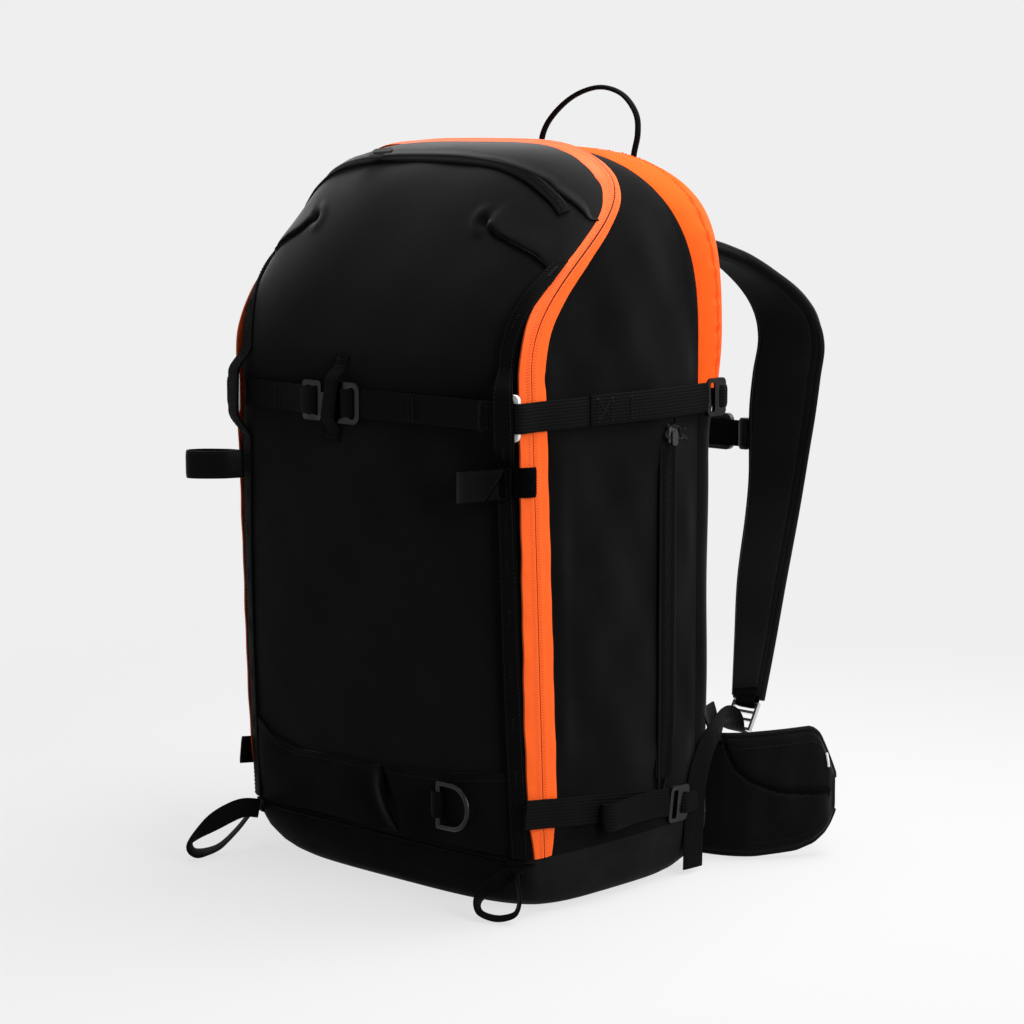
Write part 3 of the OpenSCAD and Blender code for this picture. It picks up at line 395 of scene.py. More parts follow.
class Look:
    """Principled material with a few helpers to wire its nodes."""

    def __init__(self, name, slot, color, rough, **sockets):
        self.mat = bpy.data.materials.new(name)
        self.mat.use_nodes = True
        self.mat["slot"] = slot
        self.tree = self.mat.node_tree
        self.bsdf = self.tree.nodes["Principled BSDF"]
        self.color = color
        self.bsdf.inputs["Base Color"].default_value = (*color, 1)
        self.bsdf.inputs["Roughness"].default_value = rough
        for key, value in sockets.items():
            self.bsdf.inputs[key.replace("_", " ")].default_value = value
        self.normal = None

    def node(self, kind, links=(), **values):
        return add_node(self.tree, kind, links, **values)

    def uv(self):
        split = self.node("ShaderNodeSeparateXYZ", [(0, self.node("ShaderNodeTexCoord").outputs["UV"])])
        return split.outputs[0], split.outputs[1]

    def place(self):
        return self.node("ShaderNodeTexCoord").outputs["Object"]

    def math(self, op, a, b=0.0, c=None):
        n = self.node("ShaderNodeMath", operation=op)
        for i, value in enumerate((a, b, c)):
            if value is None:
                continue
            if isinstance(value, (int, float)):
                n.inputs[i].default_value = value
            else:
                self.tree.links.new(value, n.inputs[i])
        return n.outputs[0]

    def wave(self, along, period):
        return self.math("SINE", self.math("MULTIPLY", along, 2 * math.pi / period))

    def noise(self, scale, detail):
        n = self.node("ShaderNodeTexNoise", [(0, self.place())], Scale=scale, Detail=detail, Roughness=0.55)
        return n.outputs["Fac"]

    def spread(self, value, low, high, to_low=0.0, to_high=1.0):
        n = self.node("ShaderNodeMapRange", [(0, value)], clamp=True)
        for i, v in enumerate((low, high, to_low, to_high)):
            n.inputs[i + 1].default_value = v
        return n.outputs[0]

    def tint(self, share, other):
        """Base colour runs from the material's own to another by a 0 to 1 value."""
        n = self.node("ShaderNodeMix", [("Factor", share)], data_type="RGBA")
        last = self.bsdf.inputs["Base Color"].links
        if last:
            self.tree.links.new(last[0].from_socket, n.inputs[6])
        else:
            n.inputs[6].default_value = (*self.color, 1)
        n.inputs[7].default_value = (*other, 1)
        self.tree.links.new(n.outputs[2], self.bsdf.inputs["Base Color"])

    def rough(self, value, low, high):
        self.tree.links.new(self.spread(value, 0.3, 0.7, low, high), self.bsdf.inputs["Roughness"])

    def bump(self, height, strength, depth_mm):
        n = self.node("ShaderNodeBump", [("Height", height)], Strength=strength, Distance=depth_mm * MM)
        if self.normal:
            self.tree.links.new(self.normal, n.inputs["Normal"])
        self.normal = n.outputs[0]
        self.tree.links.new(self.normal, self.bsdf.inputs["Normal"])


def nylon(name, slot, color, rough=0.5, pale=1.6, thread=0.9, sheen=0.22, shine=0.006):
    """Woven pack cloth: fine crossed threads, faint blotches and a soft sheen."""
    look = Look(name, slot, color, rough, Sheen_Weight=sheen, Sheen_Roughness=0.4, Specular_IOR_Level=shine)
    u, v = look.uv()
    weave = look.math("MULTIPLY", look.wave(u, thread), look.wave(v, thread))
    blotch = look.noise(38.0, 4.0)
    look.tint(look.spread(blotch, 0.3, 0.75), tuple(c * pale for c in color))
    look.rough(look.noise(120.0, 2.0), rough - 0.06, rough + 0.06)
    look.bump(look.noise(900.0, 2.0), 0.12, 0.3)
    look.bump(weave, 0.10, 0.12)
    return look.mat


def ribbed(name, slot, color, rib=2.2, pick=1.6, rough=0.62):
    """Woven webbing: ribs along its length crossed by picks."""
    look = Look(name, slot, color, rough, Sheen_Weight=0.02, Sheen_Roughness=0.3, Specular_IOR_Level=0.03)
    u, v = look.uv()
    ribs = look.wave(u, rib)
    picks = look.wave(v, pick)
    grid = look.math("MULTIPLY_ADD", picks, 0.45, ribs)
    look.tint(look.spread(grid, -0.6, 1.4), tuple(c * 2.4 for c in color))
    look.bump(grid, 0.35, 0.35)
    look.bump(look.noise(700.0, 2.0), 0.1, 0.2)
    return look.mat


def zip_cloth(name, slot, color, dark, tick=1.9):
    """Coated zip tape: a dark parting line at its centre edge and rows of ticks where the coil is sewn."""
    look = Look(name, slot, color, 0.5, Sheen_Weight=0.35, Sheen_Roughness=0.3, Specular_IOR_Level=0.12)
    u, v = look.uv()
    off = look.math("ABSOLUTE", u)
    coil = look.math("MULTIPLY", look.spread(off, 1.0, 1.6), look.spread(off, 4.6, 4.0))
    slant = look.math("MULTIPLY_ADD", off, 0.35, v)
    ticks = look.wave(slant, tick)
    shown = look.math("MULTIPLY", coil, look.spread(ticks, 0.2, 0.9))
    look.tint(look.math("MULTIPLY", shown, 0.42), dark)
    look.tint(look.math("MULTIPLY", look.spread(look.noise(60.0, 4.0), 0.35, 0.8), 0.3),
              tuple(c * 0.8 for c in color))
    look.tint(look.spread(off, 0.75, 0.35), tuple(c * 0.35 for c in dark))
    look.bump(look.math("MULTIPLY", coil, ticks), 0.35, 0.35)
    look.bump(look.noise(160.0, 3.0), 0.25, 0.8)
    return look.mat


def coil_cloth(name, slot, color, tooth=1.5):
    """Black zip tape with a raised row of teeth along its middle."""
    look = Look(name, slot, color, 0.5, Specular_IOR_Level=0.02)
    u, v = look.uv()
    off = look.math("ABSOLUTE", u)
    row = look.spread(off, 3.1, 2.5)
    teeth = look.math("MULTIPLY", row, look.wave(look.math("MULTIPLY_ADD", off, 0.3, v), tooth))
    look.tint(look.spread(teeth, 0.1, 0.9), tuple(c * 1.9 for c in color))
    look.bump(teeth, 0.7, 0.7)
    look.bump(look.math("MULTIPLY", look.wave(u, 1.2), look.wave(v, 1.2)), 0.2, 0.15)
    return look.mat


def fuzzy(name, slot, color):
    """Loop side of hook-and-loop tape."""
    look = Look(name, slot, color, 0.95, Sheen_Weight=0.01, Sheen_Roughness=0.6, Specular_IOR_Level=0.01)
    tuft = look.node("ShaderNodeTexVoronoi", [(0, look.place())], Scale=620.0).outputs["Distance"]
    look.tint(look.spread(look.noise(500.0, 4.0), 0.35, 0.7), tuple(c * 2.6 for c in color))
    look.bump(tuft, 0.9, 1.0)
    look.bump(look.noise(1500.0, 3.0), 0.6, 0.6)
    return look.mat


def spacer_mesh(name, slot, color, cell=3.2):
    """Open spacer mesh for pads against the body: staggered holes darkened as painted shade, which leaves
    their rims bright.
    """
    look = Look(name, slot, color, 0.8, Sheen_Weight=0.04, Sheen_Roughness=0.5, Specular_IOR_Level=0.1)
    u, v = look.uv()
    a = look.wave(look.math("ADD", u, v), cell)
    b = look.wave(look.math("SUBTRACT", u, v), cell)
    holes = look.math("MULTIPLY", a, b)
    # The holes are darkened: painted shade in the recesses
    look.tint(look.spread(holes, 0.25, 0.8), tuple(c * 0.25 for c in color))
    look.tint(look.math("MULTIPLY", look.spread(look.noise(45.0, 3.0), 0.4, 0.8), 0.4),
              tuple(c * 1.6 for c in color))
    look.bump(holes, -0.5, 0.6)
    return look.mat


def thread(name, slot, color):
    look = Look(name, slot, color, 0.6, Sheen_Weight=0.02, Specular_IOR_Level=0.1)
    look.tint(look.noise(900.0, 2.0), tuple(c * 1.8 for c in color))
    look.bump(look.noise(2500.0, 1.0), 0.3, 0.1)
    return look.mat


def solid(name, slot, color, rough, metal, wear_and_glint, grain=0.12):
    """Metal or moulded plastic: rough patches, fine grain and paler spots of wear, which on the black metal
    are also painted highlight.
    """
    look = Look(name, slot, color, rough, Metallic=metal)
    look.rough(look.noise(140.0, 3.0), max(0.05, rough - 0.08), rough + 0.08)
    look.tint(look.math("MULTIPLY", look.spread(look.noise(75.0, 5.0), 0.55, 0.85), 0.5), wear_and_glint)
    look.bump(look.noise(1800.0, 2.0), grain, 0.1)
    return look.mat


BLACK = (0.0024, 0.0024, 0.0025)
ORANGE = (0.95, 0.12, 0.014)
shell_look = nylon("pack_nylon", "shell", BLACK, sheen=0.1)
door_look = nylon("door_nylon", "shell", BLACK, sheen=0.34)
lower_look = nylon("panel_nylon", "shell", (0.0026, 0.0026, 0.0028), rough=0.46, thread=1.3)
base_look = nylon("base_nylon", "shell", (0.008, 0.008, 0.0085), sheen=0.02)
pad_look = nylon("padding_nylon", "padding", (0.0034, 0.0034, 0.0037), rough=0.6, thread=1.0)
# Near-black cloth: the base piping's own colour, and painted shade where it lies in the pocket openings and
# along the darts
piping_and_shade_look = nylon("piping_and_painted_shade_nylon", "shell", (0.0008, 0.0008, 0.0009), sheen=0.0, shine=0.02)
tab_look = nylon("tab_nylon", "webbing", (0.0007, 0.0007, 0.0008), rough=0.36, sheen=0.0, shine=0.05)
bag_look = nylon("airbag_nylon", "airbag", (0.88, 0.17, 0.035), pale=0.8, thread=0.7)
cover_look = nylon("cover_nylon", "orange", (0.95, 0.11, 0.014), rough=0.48, pale=0.88, thread=0.8,
                   sheen=0.04)
tape_look = zip_cloth("zip_tape_orange", "orange", ORANGE, (0.6, 0.035, 0.004))
web_look = ribbed("webbing_black", "webbing", (0.0013, 0.0013, 0.0014))
fine_web_look = ribbed("webbing_fine", "webbing", (0.0017, 0.0017, 0.0018), rib=1.5, pick=1.2)
coil_look = coil_cloth("zip_coil_black", "webbing", (0.0016, 0.0016, 0.0018))
fuzz_look = fuzzy("loop_tape", "webbing", (0.0006, 0.0006, 0.0007))
mesh_look = spacer_mesh("spacer_mesh", "mesh", (0.005, 0.005, 0.0055))
bind_look = ribbed("edge_binding", "padding", (0.0032, 0.0032, 0.0034), rib=1.1, pick=0.9)
cord_look = ribbed("cord_flecked", "webbing", (0.008, 0.008, 0.009), rib=0.9, pick=0.8)
thread_look = thread("thread_black", "webbing", (0.0048, 0.0048, 0.0052))
dark_thread_look = thread("thread_dark", "webbing", (0.0009, 0.0009, 0.001))
orange_thread_look = thread("thread_orange", "orange", (0.75, 0.07, 0.008))
# Black metal for the hooks and the D-ring: its pale spots are partly wear and partly painted highlight
black_metal = solid("metal_black", "black_metal", (0.014, 0.014, 0.015), 0.26, 0.8, (0.10, 0.10, 0.105))
black_plastic = solid("plastic_black", "black_plastic", (0.006, 0.006, 0.0065), 0.36, 0.0,
                      (0.016, 0.016, 0.017), 0.25)
pale_plastic = solid("plastic_pale", "pale_plastic", (0.82, 0.82, 0.80), 0.35, 0.0, (0.7, 0.7, 0.68), 0.1)
bright_metal = solid("metal_bright", "bright_metal", (0.58, 0.585, 0.6), 0.26, 1.0, (0.36, 0.36, 0.37), 0.2)
unit_metal = solid("metal_unit", "unit_metal", (0.34, 0.345, 0.36), 0.38, 1.0, (0.22, 0.22, 0.23), 0.25)
gas_metal = solid("metal_cartridge", "cartridge", (0.6, 0.61, 0.63), 0.3, 1.0, (0.45, 0.455, 0.47), 0.2)
red_plastic = solid("plastic_red", "red_plastic", (0.62, 0.028, 0.018), 0.45, 0.0, (0.5, 0.02, 0.013), 0.35)
sheet_plastic = solid("plastic_sheet", "sheet", (0.05, 0.05, 0.054), 0.5, 0.0, (0.075, 0.075, 0.08), 0.4)
cable_look = solid("cable_sleeve", "cable", (0.02, 0.02, 0.021), 0.5, 0.0, (0.045, 0.045, 0.047), 0.4)


# Door: fabric of the front panel with its darts and the dent under the strap
def path_gap(x, z, pts):
    """Signed distance in the front view from a polyline, and how far along it the nearest point is."""
    best, side, share = np.full(x.shape, 1e9), np.zeros(x.shape), np.zeros(x.shape)
    for k in range(len(pts) - 1):
        a, b = np.array(pts[k], float), np.array(pts[k + 1], float)
        d = b - a
        q = np.clip(((x - a[0]) * d[0] + (z - a[1]) * d[1]) / (d @ d), 0, 1)
        gx, gz = x - a[0] - q * d[0], z - a[1] - q * d[1]
        g = np.hypot(gx, gz)
        near = g < best
        best = np.where(near, g, best)
        side = np.where(near, np.sign(d[0] * gz - d[1] * gx), side)
        share = np.where(near, (k + q) / (len(pts) - 1), share)
    return best * side, share


DART = [(84, 467), (90, 463.6), (97.5, 458.6), (113.6, 451.7), (127.7, 444.8), (137, 436.5)]
PUCKER = DART[0]
DOOR_WAVES = [(0.5, 190, 260, 0.3), (0.4, -140, 170, 1.9), (0.3, 95, -120, 4.0), (0.22, 61, 88, 2.2)]


def door_bulge(x, z):
    """How far the door's cloth stands off: soft waves, the two darts and the dent under the strap."""
    lift = ripple(x, z, DOOR_WAVES) * ease((ZIP_W - np.abs(x)) / 40)
    gap, share = path_gap(np.abs(x), z, DART)
    fade = ease(share / 0.1) * ease((1.04 - share) / 0.08)
    puff = ease((gap + 1.0) / 1.8) * bell(np.maximum(gap, 0), 10)
    half = ZIP_W * (1 - np.clip((z - SHOULDER_Z) / (BODY_H - SHOULDER_Z), 0, 0.999)**ARCH_N)**(1 / ARCH_N)
    fade = fade * ease((half - np.abs(x) - 1) / 9)
    lift += fade * (1.9 * puff - 0.9 * bell(gap + 1.8, 1.8))
    px, pz = np.abs(x) - PUCKER[0], z - PUCKER[1]
    away = np.hypot(px, pz)
    lift += 1.3 * bell(away - 8, 3.5) * ease((3 - px) / 10) - 2.4 * bell(away, 3.2)
    lift += 1.4 * bell(z - STRAP_Z - 26, 20) + 1.0 * bell(z - STRAP_Z + 27, 22)
    return lift - 0.8 * bell(z - STRAP_Z, 10)


def door_share(s):
    """How far up the dome: 0 at the shoulder, 1 at the end of the arch."""
    return np.clip((s - 1) * 90 / ARCH_END, 0, 1)


def door_middle(s):
    """Depth of the door's middle line along the arch."""
    dome = lerp(CREST_Y, front_line(SHOULDER_Z), np.cos(np.pi / 2 * door_share(s)))
    return np.where(s <= 1, front_line(arch_xz(s, ZIP_W, BODY_H)[1]), dome)


def door_point(s, t_deg):
    """Door surface: s runs up the arch, t from 0 at the right zip to 180 at the left one."""
    half, z = arch_xz(s, ZIP_W, BODY_H)
    t = np.radians(t_deg)
    r = round_r(t, lerp(4, 2.5, door_share(s)))
    return points(half * r * np.cos(t), lerp(zip_y_at(z), door_middle(s), r * np.sin(t)), z)


def make_door():
    rows = np.concatenate([np.linspace(0, 1.25, 110), np.linspace(1.25, 1.905, 170)[1:]])[:, None]
    turn = np.concatenate([np.linspace(0.8, 50, 70), np.linspace(50, 130, 70)[1:-1],
                           np.linspace(130, 179.2, 70)])[None]
    grid = door_point(rows, turn)
    top = ease(np.minimum(1, (BODY_H - grid[..., 2]) / 6))
    cloth("door_fabric", grid, door_look, "front", ["front_panel"],
          bulge=door_bulge(grid[..., 0], grid[..., 2]) * top)


make_door()


# Side fabric, top fabric, base and the orange airbag cover
def make_sides():
    waves = [(0.6, 120, 310, 0.2), (0.4, -75, 150, 2.1), (0.3, 52, 97, 3.3)]
    rim = 0.985             # where the side cloth ends by the zip tape
    leg = np.linspace(0, LEG_END, 70)
    whole = np.concatenate([leg, np.linspace(LEG_END, SIDE_END, 60)[1:]])
    for name, side in SIDES:
        s, v = np.broadcast_arrays(whole[:, None], np.linspace(0, rim, 70)[None])
        grid = side_point(s, v)
        y, z = grid[..., 1], grid[..., 2]
        lift = ripple(y, z, waves)
        # A ridge by the zip, swells by the upper strap and over the lower one, wrinkles at the foot
        lift += 1.2 * bell(v - 0.86, 0.05) * ease((z - 80) / 60) * ease((330 - z) / 40)
        lift += 1.6 * bell(z - STRAP_Z + 24, 16) + 1.2 * bell(z - STRAP_Z - 24, 18)
        lift += 1.8 * bell(z - 94, 11) * ease((y + 90) / 60)
        lift += 0.9 * np.sin(z / 7.0 + y / 23.0) * bell(z - 52, 16) * ease((40 - np.abs(y + 50)) / 40)
        lift = lift * ease(v / 0.08) * ease((rim - v) / 0.1)
        lift = lift * ease((z - SEAM_Z) / 16) * ease((SIDE_END - s) / 0.12)
        cloth(f"side_fabric_{name}", grid * (side, 1, 1), shell_look, "pack", [f"side_panel_{name}"],
              inward=-side, bulge=lift)
        s, v = np.broadcast_arrays(leg[:, None], np.linspace(0, 1, 14)[None])
        grid = gusset_point(s, v)
        lift = ripple(grid[..., 1], grid[..., 2], [(0.4, 40, 130, 1.0)]) * np.sin(np.pi * v)
        cloth(f"rear_gusset_{name}", grid * (side, 1, 1), shell_look, "pack", inward=-side, bulge=lift)
    grid = over_arch(side_point, np.linspace(SIDE_END - 0.004, 2, 40), np.linspace(0.0, 0.93, 20))
    cloth("top_fabric", grid, shell_look, "pack", ["top_panel"], bulge=np.full(grid.shape[:2], 0.06))


def make_cover():
    seam, sewn = 0.52, 24   # share of the width where the seam lies, and the stitches' column
    v = np.linspace(0.0, 0.99, 44)
    grid = over_arch(gusset_point, np.linspace(LEG_END + 0.005, 2, 110), v)
    run, v = np.linspace(0, 1, len(grid))[:, None], v[None]
    pucker = np.sin(run * 260) + 0.6 * np.sin(run * 417 + 1.0) + 0.5 * np.sin(run * 131 + 2.0)
    lift = 2.2 * np.sin(np.pi * v)**0.7 - 2.4 * bell(v - seam, 0.018) + 0.5 * pucker * bell(v - seam, 0.11)
    lift += 0.2 * np.sin(run * 190 + v * 9) * bell(v - 0.97, 0.1)
    lift = lift * ease(v / 0.06) * ease((1.0 - v) / 0.06)
    cloth("cover_fabric", grid, cover_look, "pack", ["airbag_cover"], bulge=lift)
    out = grid_out(grid)
    path = (grid + out * lift[..., None])[:, sewn] + out[:, sewn] * 0.3
    stitches("cover_stitches", [path], orange_thread_look, "pack", pitch=3.0, length=2.0, d=0.6)


def base_ring(kx, ky, cut=0.0, corner=4.0):
    """Outline of the base, drawn in toward the middle."""
    mid = (BACK_Y - FRONT_Y) / 2
    t = np.radians(np.linspace(0.5, 179.5, 60))
    r = round_r(t, corner)
    front = np.stack([ZIP_W * r * np.cos(t), lerp(zip_y_at(SEAM_Z), front_line(SEAM_Z), r * np.sin(t))],
                     axis=1)
    side = side_point(np.zeros(22), np.linspace(0.97, 0, 22))[:, :2]
    gus = gusset_point(np.zeros(8), np.linspace(0.9, 0.05, 8))[:, :2]
    right = np.concatenate([side, gus])
    back = np.stack([np.linspace(REAR_W, -REAR_W, 26), np.full(26, BACK_Y)], axis=1)
    ring = np.concatenate([front[::-1], right, back, (right * (-1, 1))[::-1]])
    q = ring - (0, mid)
    half = np.array((ZIP_W, (BACK_Y + FRONT_Y) / 2))
    turn = np.arctan2(q[:, 1] / half[1], q[:, 0] / half[0])
    oval = half * round_r(turn, 4.2)[:, None] * np.stack([np.cos(turn), np.sin(turn)], axis=1)
    q = lerp(q, oval, (4 - corner) / 1.8)
    q = q * ((np.linalg.norm(q, axis=1) - cut) / np.linalg.norm(q, axis=1))[:, None]
    return np.stack([q[:, 0] * kx, mid + q[:, 1] * np.where(q[:, 1] < 0, ky, kx)], axis=1)


def make_base():
    levels = [(0, 0.9, 0.8, 2.4), (1.4, 0.928, 0.85, 2.5), (4, 0.955, 0.89, 2.7), (8, 0.972, 0.925, 3.0),
              (12, 0.985, 0.94, 3.2), (18, 0.995, 0.966, 3.5), (24, 1.0, 0.985, 3.7), (30, 1.0, 0.994, 3.9),
              (36, 1.0, 1.0, 4.0), (39.9, 1.0, 1.0, 4.0)]

    def level(z, kx, ky, corner, cut):
        ring = base_ring(kx, ky, cut, corner)
        return np.column_stack([ring, np.full(len(ring), max(z, cut))])

    outer = [level(*size, 0.0) for size in levels]
    inner = [level(*size, SHELL) for size in levels[::-1]]
    shrink, middle = np.array((0.55, 0.55, 1)), np.array((0, -7, 0))
    rows = np.array([outer[0] * shrink + middle] + outer + inner + [inner[-1] * shrink + middle])
    m, n = rows.shape[:2]
    wall = rows[1:len(levels) + 1]
    x, y, z = np.moveaxis(wall, -1, 0)
    push = ripple(x + y, z, [(0.5, 130, 60, 0.4), (0.35, 61, -45, 2.0)]) * np.sin(np.pi * z / SEAM_Z)
    wall[..., :2] += unit(wall[..., :2]) * push[..., None]
    uv = np.stack([np.tile(np.linspace(0, 900, n), m), np.repeat(np.linspace(0, 130, m), n)], axis=1)
    build("base_fabric", rows.reshape(-1, 3), closed_faces(m, n), base_look, "pack", ["base_tub"], uv)
    ring = base_ring(1.003, 1.004)
    front = ring[ring[:, 1] < -ZIP_Y - 6]
    front = front[np.argsort(np.arctan2(front[:, 0], -front[:, 1]))]
    edge = np.column_stack([front, np.full(len(front), SEAM_Z - 3.0)])
    tube("base_piping", edge, 1.6, piping_and_shade_look, "pack", sides=8, step=4)


make_sides()
make_cover()
make_base()


# Zip tapes: the two orange halves and the black pocket and side zips
TAPE_GAP = 0.35             # from the parting line to each tape's inner edge
TAPE_SLOPE = math.radians(9)
DOOR_TAPE_LIFT, DOOR_TAPE_T = 2.15, 1.3
BODY_TAPE_LIFT, BODY_TAPE_T = 1.9, 1.5


def tape_profile(u, run):
    """Height of a tape half over its width: coil ridge by the parting line, soft waves further out."""
    crown = 0.55 * bell(u - 2.6, 2.0) - 0.5 * (u / TAPE_W)**6
    soft = 0.22 * np.sin(run / 5.3)[:, None] * ease((u - 5) / 6)[None]
    return crown[None] + soft + 0.18 * np.sin(run / 11.0 + 1)[:, None] * (u / TAPE_W)[None]


# Height, share of the tape's width shown there
DOOR_TAPE = [(40, 0.55), (72, 0.85), (130, 0.95), (230, 0.85), (340, 0.75), (390, 0.62), (440, 0.72),
             (495, 0.95)]
BODY_TAPE = [(40, 0.5), (76, 1.0), (425, 1.0), (490, 0.4), (520, 0.4)]


def make_front_zip():
    half = np.concatenate([np.linspace(0.004, 1, 150), np.linspace(1, 2, 130)[1:]])
    s, count = and_back(half), len(half)
    line, out = zip_line(s), arch_out(s)
    line[count:], out[count:] = flip(line[count:]), flip(out[count:])
    across = unit(np.cross(out, unit(np.gradient(line, axis=0))))
    run = run_along(line)
    flat = np.linspace(0, 1, 10) * (TAPE_W + 0.3)
    rise = tape_profile(flat, run)

    def spread_out(table):
        """Distance off the tape's inner edge and off the parting line, with the UV of each point."""
        u = flat[None] * np.interp(line[:, 2], *zip(*table))[:, None]
        return u, u + TAPE_GAP, np.stack([u + TAPE_GAP, run[:, None] + 0 * u], axis=-1)

    u, off, uv = spread_out(DOOR_TAPE)
    grid = line[:, None] + across[:, None] * (off * math.cos(TAPE_SLOPE))[..., None]
    # On the left the tape shows past the outline, so it stands further out there
    stand = (2.2 + 2.2 * ease((line[:, 2] - 380) / 60)) * ease((-60 - line[:, 0]) / 40)
    stand = stand[:, None] * ease((u + 1) / 5)
    height = DOOR_TAPE_LIFT - u * math.sin(TAPE_SLOPE) + rise + stand
    top = grid + out[:, None] * height[..., None]
    low = top - out[:, None] * DOOR_TAPE_T
    sandwich("zip_orange_door", top, low, tape_look, "front", ["zip_tape_door"], uv)

    u, off, uv = spread_out(BODY_TAPE)
    depth = np.linalg.norm(cover_line(s) - zip_line(s), axis=1)
    grid = side_point(s[:, None] * np.ones_like(u), 1 - off / depth[:, None])
    grid[count:] = flip(grid[count:])
    up = -grid_out(grid)
    up = up * np.sign(np.sum(up * out[:, None], axis=-1, keepdims=True))
    top = grid + up * (BODY_TAPE_LIFT + rise)[..., None]
    sandwich("zip_orange_body", top, top - up * BODY_TAPE_T, tape_look, "pack", ["zip_tape_body"], uv)


make_front_zip()

# Pocket zip and the lip over it: x, share of the height from shoulder to crest
POCKET = [(126, 0.69), (117, 0.755), (98, 0.84), (74, 0.893), (42, 0.916), (0, 0.924)]
POCKET_LIP = [(135.2, 0.632), (132.6, 0.66), (129.6, 0.696), (124.2, 0.738), (115.5, 0.7855), (105.2, 0.833),
              (79.2, 0.891), (39.8, 0.9245), (0, 0.931)]


def pocket_path(places, lift, off=0.0):
    """Line over the dome, set off the face and moved up across it."""
    right = smooth([(x, 0, SHOULDER_Z + (BODY_H - SHOULDER_Z) * k) for x, k in places], 10)
    both = np.concatenate([right, flip(right[::-1][1:])])
    foot = on_front(both[:, 0], both[:, 2])
    out = unit(on_front(both[:, 0], both[:, 2], 1.0 + 0 * both[:, 0]) - foot)
    wide = unit(np.cross(unit(np.gradient(foot, axis=0)), out))
    wide = wide * np.sign(wide[len(wide) // 2, 2])
    fade = ease((136 - np.abs(both[:, 0])) / 8)[:, None]       # to nothing at the zip tape
    return foot + out * lift * fade + wide * off * fade, wide


def make_pocket_zip():
    path, wide = pocket_path(POCKET, 0.9)
    band("pocket_zip", path, wide, 10, coil_look, "front", ["pocket_zip_tape"], step=2.5, across=9)
    lip = [(0.0, 1.0), (0.1, 1.7), (1.2, 2.0), (3.0, 1.6), (5.5, 0.9), (9.0, 0.3)]
    top = np.array([pocket_path(POCKET_LIP, lift, off)[0] for off, lift in lip])
    low = np.array([pocket_path(POCKET_LIP, 0.0, off)[0] for off, _ in lip])
    sandwich("pocket_lip", top, low, door_look, "front")
    tube("pocket_shadow", pocket_path(POCKET_LIP, 0.9, -0.5)[0], 1.1, piping_and_shade_look, "front", sides=6, step=2.5)


def make_side_zip():
    y, lift = 27.0, 1.7
    x = side_x(y)
    line = [(x + lift, y + off, z) for off, z in ((-3.5, 76), (-2.5, 92), (-0.5, 120), (0, 150), (0, 326))]
    band("side_zip", smooth(line, 12), (0, 1, 0), 17, coil_look, "pack", ["side_zip_tape"], across=13)
    for k, off, low in (("front", -8.6, -9.0), ("rear", 8.6, -4.0)):
        ends = ((low, 66), (lerp(low, off, 0.5), 84), (off, 116), (off, 200), (off, 330))
        edge = smooth([(side_x(y + d) + lift, y + d, z) for d, z in ends], 10)
        tube(f"side_zip_welt_{k}", edge, 2.2, shell_look, "pack", sides=10, step=4, wide=(0, 1, 0), flat=0.6)
    turn = np.linspace(0, 1, 130)
    coil = points(x + 6.0 + 1.2 * np.cos(turn * 50), y - 8 + 22 * turn + 3.0 * np.sin(turn * 31),
                  322 + 4.2 * np.cos(turn * 25) - 4 * turn)
    tube("side_zip_cord", coil, 1.9, cord_look, "side_slider", sides=8, step=0.8)


make_pocket_zip()
make_side_zip()


# Edge webbing on the door, over the strap and the pale rings
DAISY_A, DAISY_B, DAISY_TOP, DAISY_LIFT = 9.8, 21.4, 1.29, 0.9
RING_RISE, RING_DRIFT = 10.8, 0.26      # height over the edge ring, drift to the zip per mm of it
# Height, further off the zip
DAISY_OFF = [(40, 1.0), (90, 2.0), (180, 3.4), (290, 3.4), (330, 1.5), (370, 0.4), (500, 0.4)]
DAISY_TACKS = (62, 98, 134, 170, 206, 242, 268, 316, 369, 403, 436)


def edge_grid(rows=210, cols=9):
    """Strip of the door along its right edge, DAISY_A to DAISY_B off the zip line along the surface."""
    s = np.linspace(0.004, DAISY_TOP, rows)[:, None]
    turn = np.linspace(0.5, 75, 150)
    fan = door_point(s, turn[None])
    run = np.cumsum(np.linalg.norm(np.diff(fan, axis=1, prepend=fan[:, :1]), axis=2), axis=1)
    height = fan[:, 0, 2]
    shift = np.interp(height, *zip(*DAISY_OFF)) - RING_DRIFT * (over_ring(height) - DAISY_LIFT)
    off = np.linspace(DAISY_A, DAISY_B, cols)
    angle = np.array([np.interp(off + k, row, turn) for k, row in zip(shift, run)])
    grid = door_point(s * np.ones_like(angle), angle)
    return grid + grid_out(grid) * over_ring(grid[..., 2])[..., None]


def over_ring(z):
    """Height of the strip off the door: it rises over the strap and the edge ring."""
    return lerp(DAISY_LIFT, RING_RISE, ease((34 - np.abs(z - STRAP_Z)) / 20))


def make_edge_webbing():
    for name, side in SIDES:
        low = edge_grid() * (side, 1, 1)
        out = grid_out(low) * side
        top = low + out * WEB_T
        uv = np.stack(np.meshgrid(np.linspace(-8, 8, 9), run_along(low[:, 4])), axis=-1)
        sandwich(f"edge_webbing_{name}", top, low, web_look, "front", [f"daisy_{name}"], uv)
        rows = [top[:, k] + out[:, k] * 0.15 for k in (1, 7)]
        stitches(f"edge_stitches_{name}", rows, dark_thread_look, "front", pitch=3.0, length=2.0, d=0.5)
        parts = []
        for z in DAISY_TACKS:
            k = int(np.argmin(np.abs(top[:, 4, 2] - z)))
            across = unit(top[k, 8] - top[k, 0])
            up = unit(top[k + 1, 4] - top[k - 1, 4])
            parts += tack_parts(top[k, 4], up, across, out[k, 4], 9, 2.4)
        merge(f"edge_tacks_{name}", parts, thread_look, "front")


